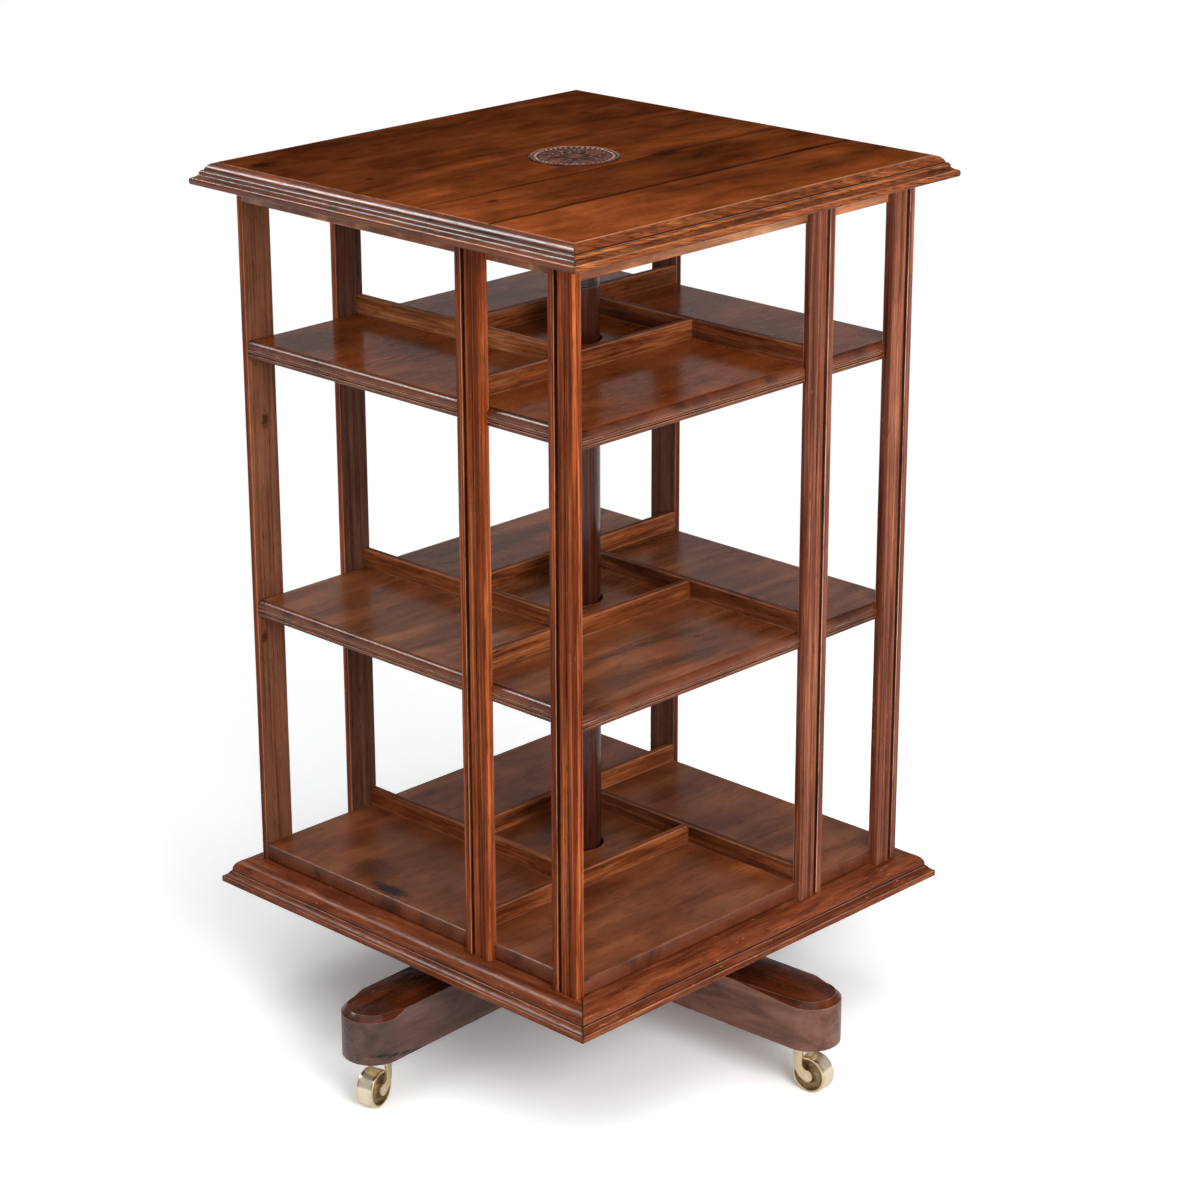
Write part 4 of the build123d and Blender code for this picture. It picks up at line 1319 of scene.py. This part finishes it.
@dataclass
class Uprights(SubAssembly):
    """Eight flat rails with a bead between two quirks, set like a pinwheel round the case."""

    width: float = 33.0
    thickness: float = 9.6
    rounding: float = 4.6
    bead: float = 10.2
    quirk: float = 1.7
    quirk_depth: float = 2.7
    back: float = 215.55
    corner: float = 201.5
    inner: float = 89.1
    ripple: float = 0.09
    figure: int = 11

    def section(self) -> np.ndarray:
        """Flat back, rounded corners, two quirks, and a bead whose crown is an arc.

        Returns:
            The outline of a rail, out from its back and along the case's side, anticlockwise.
        """
        half, deep = self.width / 2, self.thickness - self.quirk_depth
        bead_half, quirk_edge = self.bead / 2, self.bead / 2 + self.quirk
        corner = oval((self.thickness - self.rounding, half - self.rounding),
                      (self.rounding, self.rounding), 90, 0, 9)
        radius = (bead_half**2 + self.quirk_depth**2) / (2 * self.quirk_depth)
        reach = np.linspace(bead_half, 0, 9)
        crown = np.stack([self.thickness - radius + np.sqrt(radius**2 - reach**2), reach], 1)
        upper = np.vstack([[(0.0, half)], corner, [(self.thickness, quirk_edge),
                                                   (deep, quirk_edge), (deep, bead_half)], crown])
        lower = upper[::-1][1:] * np.array([1.0, -1.0])
        return np.vstack([upper, lower])[::-1]

    def build(self) -> None:
        """Build the eight rails from the ledge of the plinth to the underside of the top."""
        section, edge = worn_profile(self.section(), wear=0.26)
        low, high = self.levels.ledge + GLUE, self.levels.subtop_top - GLUE
        places = (("corner", self.corner), ("inner", self.inner))
        for number, (side, (name, place)) in enumerate(product(Side, places), self.figure):
            run, out = side.axes()
            origin = run * place + out * self.back + UP * (low + high) / 2
            shape = carry(section, edge, origin, (UP, out, run), (high - low) / 2, 0.0, number,
                          self.ripple, 0.0)
            made = piece(f"rail_{side.label}_{name}", shape, self.finishes.upright[side], "case",
                         f"upright_{side.label}_{name}")
            marked = side is Side.WEST and name == "corner"
            # the backs, facing into the case, take the darker copy: painted shade
            split_finish(made, read_vectors(made.data.polygons, "normal") @ out < -0.7,
                         self.finishes.upright_marked if marked else self.finishes.upright_back)


@dataclass
class Boards(SubAssembly):
    """Square boards that the section is carried round: two moulded shelves and the bottom board."""

    half: float = 218.0
    hole: float = 24.95
    shelf: float = 16.9
    bottom: float = 16.85
    let_in: float = 2.5
    flat: float = 14.0
    under: float = 3.0
    shelf_round: float = 5.8
    bottom_round: float = 1.8
    quirks: tuple[tuple[float, float], ...] = (
        (0.0, 4.3), (-2.0, 4.3), (-2.0, 5.6), (0.0, 5.6), (0.0, 8.8), (-1.3, 8.8), (-1.3, 9.6),
        (0.0, 9.6))
    notches: tuple[tuple[float, float], ...] = ((72.55, 105.65), (184.95, 218.0))
    figure_shift: tuple[float, float, float] = (431.0, 0.0, 97.0)
    softening: float = 0.4
    figure: int = 1
    subtop_figure: int = 8

    def section(self, thickness: float, over: float, count: int,
                quirks: Sequence[tuple[float, float]] = ()) -> np.ndarray:
        """Edge of a board, out from its side and up, from a round below to a round above.

        Args:
            thickness: thickness of the board.
            over: radius of the round above.
            count: number of points of each round.
            quirks: corners of the quirks and the bead between the rounds.

        Returns:
            The corners of the section.
        """
        lower = oval((-self.under, self.under), (self.under, self.under), -90, 0, count)
        upper = oval((-over, thickness - over), (over, over), 0, 90, count)
        return np.vstack([[(-self.flat, 0.0)], lower, np.reshape(quirks, (-1, 2)), upper,
                          [(-self.flat, thickness)]])

    def board(self, section: np.ndarray, thickness: float, underside: float, number: int) -> Shape:
        """Carry the edge's section round the square, and close it with the column's hole.

        On each side a station at s along it puts the section's point (o, u) at
        run * clip(s, -half - min(o, notch), half + o) + out * (half + min(o, limit)) + up * u. The
        limit is 0, or inside a notch minus its depth. The hole is the circle of the same angle, and
        the rows between them are flat.

        Args:
            section: points of the edge, from the underside to the top.
            thickness: thickness of the board.
            underside: height of the underside.
            number: number of the board, for its own figure.

        Returns:
            The board as a closed shape.
        """
        profile, edge = worn_profile(section, wear=0.24, step=0.2, closed=False)
        o, u = profile[:, 0][None], np.clip(profile[:, 1], 0, thickness)[None]
        notch = -self.let_in
        stations = [(s, 0.0) for s in np.linspace(-self.half, self.notches[0][0], 14)[:-1]]
        for low, high in self.notches:
            stations += [(low, 0.0), (low, notch), (high, notch), (high, 0.0)]
        s, limit = np.array(stations[:-1]).T[..., None]
        along = np.clip(s, -(self.half + np.minimum(o, notch)), self.half + o)
        reach = self.half + np.minimum(o, limit)
        angle = np.arctan2(s, self.half)
        # below zero in the notches and on the hole's wall: darkened like the quirks, painted shade
        # where the board meets the rails and the column
        shade = np.where(limit < 0, -0.6 * (np.abs(edge) > 0.05), edge + 0 * along)
        shade = np.hstack([np.full_like(s, -0.3), shade, np.zeros_like(s)])
        rows = []
        for side in Side:
            run, out = side.axes()
            rim = (along[..., None] * run + reach[..., None] * out
                   + (underside + u + 0 * along)[..., None] * UP)
            circle = self.hole * (np.sin(angle) * run + np.cos(angle) * out) + underside * UP
            rows.append(np.concatenate([circle[:, None], rim,
                                        (circle + thickness * UP)[:, None]], 1))
        points = np.concatenate(rows)
        flat = points.reshape(-1, 3)
        return Shape(flat, grid_faces(*points.shape[:2], True).tolist(),
                     flat @ GRAIN_ALONG_Y + number * np.array(self.figure_shift),
                     np.tile(shade, (len(Side), 1)).ravel())

    def build(self) -> None:
        """Build both shelves and the bottom board, with a polish of their own on the edges."""
        shelf = self.section(self.shelf, self.shelf_round, 10, self.quirks)
        plain = self.section(self.bottom, self.bottom_round, 8)
        levels, finishes = self.levels, self.finishes
        for number, (name, node, section, thickness, low, finish) in enumerate((
                ("moulded_shelf_lower", "shelf_lower", shelf, self.shelf,
                 levels.lower_shelf - self.shelf, finishes.shelf_lower),
                ("moulded_shelf_upper", "shelf_upper", shelf, self.shelf,
                 levels.upper_shelf - self.shelf, finishes.shelf_upper),
                ("board_bottom", "bottom_board", plain, self.bottom, levels.ledge + GLUE,
                 finishes.bottom)), self.figure):
            made = piece(name, self.board(section, thickness, low, number), finish, "case", node,
                         merge=True, sharp=50.0)
            upright = np.abs(read_vectors(made.data.polygons, "normal")[:, 2]) < 0.97
            split_finish(made, upright, finishes.board_edge)
        softened_copy("sub_top", "board_under_top", finishes.sub_top, "case",
                      self.softening, GRAIN_ALONG_Y, self.subtop_figure)


@dataclass
class Dividers(SubAssembly):
    """Twelve low strips that stand on the boards and keep the books of one side apart."""

    thickness: float = 7.5
    height: float = 18.0
    arris: float = 0.8
    line: float = 76.35
    outer: float = 215.5
    inner: float = -72.5
    ripple: float = 0.12
    joint: float = -0.2
    figure: int = 31

    def build(self) -> None:
        """Build four strips on each of the three boards."""
        half, top = self.thickness / 2, self.height - GLUE
        section, edge = worn_profile(np.array([(-half, 0), (half, 0), (half, top - self.arris),
                                               (half - self.arris, top), (self.arris - half, top),
                                               (-half, top - self.arris)]), wear=0.3)
        middle, reach = (self.outer + self.inner) / 2, (self.outer - self.inner) / 2 - GLUE
        heights = (("bottom", self.levels.bottom_board), ("lower", self.levels.lower_shelf),
                   ("upper", self.levels.upper_shelf))
        # the east strips take the darker copy: painted shade
        tones = {**{(level, Side.EAST): Tone.DARK for level, _ in heights},
                 ("upper", Side.WEST): Tone.PALE}
        for number, ((level, surface), side) in enumerate(product(heights, Side), self.figure):
            run, out = side.axes()
            origin = run * self.line + out * middle + UP * (surface + GLUE)
            shape = carry(section, edge, origin, (out, run, UP), reach, 0.0, number, self.ripple,
                          self.joint)
            tone = tones.get((level, side), Tone.PLAIN)
            piece(f"strip_{level}_{side.label}", shape, self.finishes.divider[tone], "case",
                  f"divider_{level}_{side.label}")


@dataclass
class Plinth(SubAssembly):
    """Four mitred lengths of moulding under the bottom board: fillet, cove, step and ovolo."""

    half: float = 249.2
    rail: float = 60.0
    height: float = 23.4
    fillet: float = 5.9
    cove_in: float = 6.3
    cove_rise: float = 5.5
    step_in: float = 1.1
    step_rise: float = 2.9
    ovolo_in: float = 11.4
    bulge: float = 0.17
    hollow: float = 0.09
    ripple: float = 0.10
    joint: float = -0.4
    figure: int = 51

    def section(self) -> np.ndarray:
        """Fillet, cove, step and ovolo, from the lower edge to the ledge.

        Returns:
            The outline of the moulding, out from its lower edge and up, anticlockwise.
        """
        a = (0.0, self.fillet)
        b = (-self.cove_in, self.fillet + self.cove_rise)
        c = (b[0] - self.step_in, b[1])
        d = (c[0], c[1] + self.step_rise)
        e = (d[0] - self.ovolo_in, self.height)
        return np.vstack([[(-self.rail, 0.0), (0.0, 0.0)], arc(a, b, self.hollow), [c],
                          arc(d, e, -self.bulge), [(-self.rail, self.height)]])

    def build(self) -> None:
        """Build the four mouldings."""
        section, edge = worn_profile(self.section())
        section[:, 1] = np.clip(section[:, 1], 0, self.height)
        for side in Side:
            run, out = side.axes()
            origin = out * self.half + UP * self.levels.plinth_bottom
            shape = carry(section, edge, origin, (run, out, UP), self.half - GLUE, 1.0,
                          self.figure + side.value, self.ripple, self.joint)
            piece(f"moulding_plinth_{side.label}", shape, self.finishes.plinth, "case",
                  f"plinth_{side.label}")


# ---------------------------------------------------------------- the base

@dataclass
class Column(SubAssembly):
    """Turned column, the iron cap on its top and the plain steel parts of its bearings."""

    radius: float = 22.35
    tenon: float = 15.0
    core: float = 0.02
    cap_wall: float = 3.0
    cap_height: float = 55.0
    band_high: float = 3.6
    band_proud: float = 0.5
    band_slope: float = 0.6
    pin: float = 8.0
    pin_depth: float = 60.0
    figure: int = 61

    def build(self) -> None:
        """Build the column and its cap as turned surfaces, and finish the bearings."""
        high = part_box("column_cap")[1][2] / MM
        low, neck = high - self.cap_height, high - self.cap_wall - GLUE
        inside, bore = self.radius - self.cap_wall, self.pin + GLUE
        hole = high - self.pin_depth - GLUE
        foot, shoulder = self.levels.arm_bottom, self.levels.arm_top + GLUE
        outline = [(self.core, foot), (self.tenon, foot), (self.tenon, shoulder),
                   (self.radius, shoulder), (self.radius, low - GLUE),
                   (inside - GLUE, low - GLUE), (inside - GLUE, neck), (bore, neck), (bore, hole),
                   (self.core, hole)]
        section, edge = worn_profile(np.array(outline), wear=0.35, step=0.4)
        section[:, 0] = np.clip(section[:, 0], self.core, self.radius)
        piece("turned_column", lathe(section, edge, np.zeros(3), UP, self.figure),
              self.finishes.column, "base", "column")
        skin = self.radius - self.band_proud
        outline = [(skin, low), (self.radius, low + self.band_slope),
                   (self.radius, low + self.band_high - self.band_slope),
                   (skin, low + self.band_high), (skin, high), (bore, high),
                   (bore, high - self.cap_wall), (inside, high - self.cap_wall), (inside, low)]
        section, edge = worn_profile(np.array(outline), wear=0.22, step=0.2)
        piece("iron_cap", lathe(section, edge, np.zeros(3), UP, self.figure + 1),
              self.finishes.iron, "base", "column_cap")
        for node in ("bearing_cup", "guide_ring"):
            finish_node(node, self.finishes.iron)
        for node in ("pivot_pin", "bearing_screws", "castor_screws"):
            finish_node(node, self.finishes.steel)


@dataclass
class Cross(SubAssembly):
    """Two half-lapped beams with round, chamfered ends."""

    softening: float = 0.7
    figure: int = 71

    def build(self) -> None:
        """Soften and finish both beams, with the figure along each of them."""
        for number, (name, first, finish) in enumerate((
                ("ew", 0.0, self.finishes.base), ("ns", 90.0, self.finishes.base_south)),
                self.figure):
            a = radians(first + ARM_TURN)
            axes = np.array([[cos(a), sin(a), 0.0], UP, [-sin(a), cos(a), 0.0]])
            made = softened_copy(f"cross_beam_{name}", f"beam_{name}", finish, "base",
                                 self.softening, axes, number)
            # faces that look up take the darker copy; the greyed sides carry painted reflection
            split_finish(made, read_vectors(made.data.polygons, "normal")[:, 2] > 0.3,
                         self.finishes.base_top)


@dataclass
class Castors(SubAssembly):
    """Four brass castors: plate, swivelling horn, axle and wheel with a pale tread."""

    swivels: tuple[float, float, float, float] = (13.0, 3.1, -7.0, 9.0)
    wheel: float = 18.3
    width: float = 17.5
    rim: float = 2.6
    dish: float = 4.2
    hub: float = 6.0
    bore: float = 2.58
    arris: float = 0.9
    crown: float = 0.25
    shoulder: float = 0.6
    collar: float = 1.0
    horn_softening: float = 0.45
    plate_softening: float = 0.3
    figure: int = 81

    def wheel_section(self) -> np.ndarray:
        """Tread with a slight crown, 1 - across^4, and two dished faces.

        Returns:
            The outline of a wheel, as radius and place along the axle.
        """
        half, rim = self.width / 2, self.wheel - self.rim
        dish = oval(((self.hub + rim) / 2, half), ((rim - self.hub) / 2, -self.dish), 0, 180, 17)
        across = np.linspace(-1, 1, 15)
        tread = np.stack([self.wheel - self.crown * across**4, across * (half - self.shoulder)], 1)
        upper = np.vstack([[(self.wheel - self.arris, half)], dish, [(self.bore, half)]])
        return np.vstack([tread, upper, upper[::-1] * np.array([1.0, -1.0])])

    def build(self) -> None:
        """Build the wheels as turned surfaces and soften the horns and plates."""
        section, edge = worn_profile(self.wheel_section(), wear=0.18, step=0.18)
        finishes = self.finishes
        for index, side in enumerate(Side):
            name = side.label
            centre = np.sum(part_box(f"castor_wheel_{name}"), axis=0) / MM / 2
            a = radians(90.0 * (index - 1) + ARM_TURN + self.swivels[index])
            axle = np.array([-sin(a), cos(a), 0.0])
            shape = lathe(section, edge, centre, axle, self.figure + index, 128)
            made = piece(f"wheel_turned_{name}", shape, finishes.brass, f"wheel_{name}",
                         f"castor_wheel_{name}")
            off = read_vectors(made.data.polygons, "center") / MM - centre
            along = off @ axle
            radial = np.linalg.norm(off - along[:, None] * axle, axis=1)
            tread = (np.abs(along) < self.width / 2 - self.rim) & (radial > self.wheel - 0.8)
            dish = (radial < self.wheel - self.rim) & (radial > self.bore + self.collar)
            split_finish(made, tread + 2 * dish, finishes.tread, finishes.dish)
            for row, (node, body, width) in enumerate((
                    ("horn", f"castor_{name}", self.horn_softening),
                    ("plate", "base", self.plate_softening)), 1):
                softened_copy(f"castor_{node}_{name}", f"{node}_{name}", finishes.brass, body,
                              width, np.eye(3),
                              self.figure + len(Side) * row + index)
            finish_node(f"castor_axle_{name}", finishes.tread)


# ---------------------------------------------------------------- studio

@dataclass
class Studio:
    """Pale floor, soft lamps, a plain surround and the camera; lengths in metres."""

    azimuth: float = 44.9303
    elevation: float = 19.8413
    roll: float = -0.4197
    distance: float = 3.12786
    aside: float = -0.020857
    target: float = 0.419796
    focal: float = 3261.2549
    centre: tuple[float, float] = (555.6226, 602.7746)
    picture: float = 1200.0
    film: float = 36.0
    floor_reach: float = 30.0
    low_light: float = 0.86
    high_light: float = 0.36
    ceiling: float = 0.3

    def camera(self) -> None:
        """Aim the camera: its back axis comes from azimuth and elevation, turned by the roll."""
        a, e, r = radians(self.azimuth), radians(self.elevation), radians(self.roll)
        back = Vector((sin(a) * cos(e), -cos(a) * cos(e), sin(e)))
        right = Vector((cos(a), sin(a), 0.0))
        up = back.cross(right)
        right, up = right * cos(r) + up * sin(r), up * cos(r) - right * sin(r)
        data = bpy.data.cameras.new("camera")
        data.sensor_width = self.film
        data.lens = self.focal * self.film / self.picture
        data.shift_x = (self.picture / 2 - self.centre[0]) / self.picture
        data.shift_y = (self.centre[1] - self.picture / 2) / self.picture
        data.clip_end = 100.0
        made = bpy.data.objects.new("camera", data)
        aim = Vector((self.aside * cos(a), self.aside * sin(a), self.target))
        turned = Matrix((right, up, back)).transposed().to_4x4()
        made.matrix_world = Matrix.Translation(aim + back * self.distance) @ turned
        bpy.context.collection.objects.link(made)
        bpy.context.scene.camera = made

    def lamp(self, name: str, place: Sequence[float], target: Sequence[float],
             size: tuple[float, float], power: float, light: bool = True,
             sheen: bool = True) -> None:
        """Hang a soft lamp at a place, facing a target.

        Args:
            name: name of the lamp.
            place: its middle.
            target: the point that it faces.
            size: its width and height.
            power: its power in watts.
            light: whether it lights dull surfaces.
            sheen: whether it is seen in the varnish.
        """
        data = bpy.data.lights.new(name, "AREA")
        data.shape, data.size, data.size_y, data.energy = "RECTANGLE", size[0], size[1], power
        made = bpy.data.objects.new(name, data)
        made.visible_diffuse, made.visible_glossy = light, sheen
        made.location = place
        made.rotation_euler = (Vector(place) - Vector(target)).to_track_quat("Z", "Y").to_euler()
        bpy.context.collection.objects.link(made)

    def surround(self) -> None:
        """Plain surround: white to the eye, white low down in reflections, softer as light."""
        world = bpy.data.worlds.new("surround")
        bpy.context.scene.world = world
        world.use_nodes = True
        tree = Tree(world.node_tree)
        rays = tree.add("LightPath").outputs
        mirrored = tree.math("MAXIMUM", rays["Is Glossy Ray"], rays["Is Transmission Ray"])
        rise = tree.separate(tree.add("TexCoord").outputs["Generated"])[2]
        backdrop = tree.spread(rise, 0.03, 0.16, 1.0, self.ceiling)
        soft = tree.spread(rise, 0.08, 0.45, self.low_light, self.high_light)
        strength = tree.add("Mix", {"data_type": "FLOAT"}, n0=mirrored, n2=soft, n3=backdrop)
        strength = tree.math("MAXIMUM", strength.outputs[0], rays["Is Camera Ray"])
        shade = tree.add("Background", Color=(1.0, 1.0, 1.0, 1.0), Strength=strength)
        tree.close(tree.add("OutputWorld"), Surface=shade.outputs[0])

    def floor(self) -> None:
        """Pale floor that keeps the object's soft shadow and is plain white farther out."""
        mesh = bpy.data.meshes.new("floor")
        corners = np.array([(-1, -1, 0), (1, -1, 0), (1, 1, 0), (-1, 1, 0)]) * self.floor_reach
        mesh.from_pydata(corners.tolist(), [], [(0, 1, 2, 3)])
        made = bpy.data.objects.new("floor", mesh)
        bpy.context.collection.objects.link(made)
        material = bpy.data.materials.new("floor_paper")
        material.use_nodes = True
        tree = Tree(material.node_tree)
        rays = tree.add("LightPath").outputs
        mirrored = tree.math("MAXIMUM", rays["Is Glossy Ray"], rays["Is Transmission Ray"])
        seen = tree.math("MAXIMUM", rays["Is Camera Ray"], mirrored)
        far = tree.vector("LENGTH", tree.add("TexCoord").outputs["Object"])
        away = tree.times(tree.spread(far, 0.7, 1.6), seen)
        paper = tree.blend(rays["Is Camera Ray"], (0.8, 0.8, 0.8, 1.0), (1.5, 1.525, 1.53, 1.0))
        matt = tree.add("BsdfDiffuse", Color=paper)
        white = tree.add("Emission", Color=(1.0, 1.0, 1.0, 1.0), Strength=1.0)
        mixed = tree.add("MixShader", n0=away, n1=matt.outputs[0], n2=white.outputs[0])
        tree.close(tree.add("OutputMaterial"), Surface=mixed.outputs[0])
        mesh.materials.append(material)

    def build(self) -> None:
        """Set up the camera, the lamps, the surround and the floor."""
        self.camera()
        self.surround()
        self.floor()
        middle = (0.0, 0.0, 0.45)
        self.lamp("overhead", (0.5, -0.7, 3.2), middle, (3.6, 3.6), 54.0)
        self.lamp("front", (2.08, -0.86, 1.3), (0.0, 0.0, 0.15), (1.2, 1.0), 32.0, sheen=False)
        self.lamp("right", (3.2, -0.3, 1.1), middle, (1.6, 1.6), 10.0)
        self.lamp("sheen", (-1.74, -1.1, 2.7), (0.1, -0.25, 0.83), (0.56, 1.5), 72.0, light=False)
        bpy.context.scene.view_settings.view_transform = "Standard"


def main() -> None:
    """Build the bookcase, sub-assembly by sub-assembly, and the studio round it."""
    logging.basicConfig(level=logging.INFO, format="%(name)s: %(message)s")
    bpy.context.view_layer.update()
    levels, finishes = Levels(), Finishes()
    for kind in (Top, Medallion, Uprights, Boards, Dividers, Plinth, Column, Cross, Castors):
        kind(levels, finishes).build()
        log.info("%s done", kind.__name__)
    Studio().build()


if __name__ == "__main__":
    main()
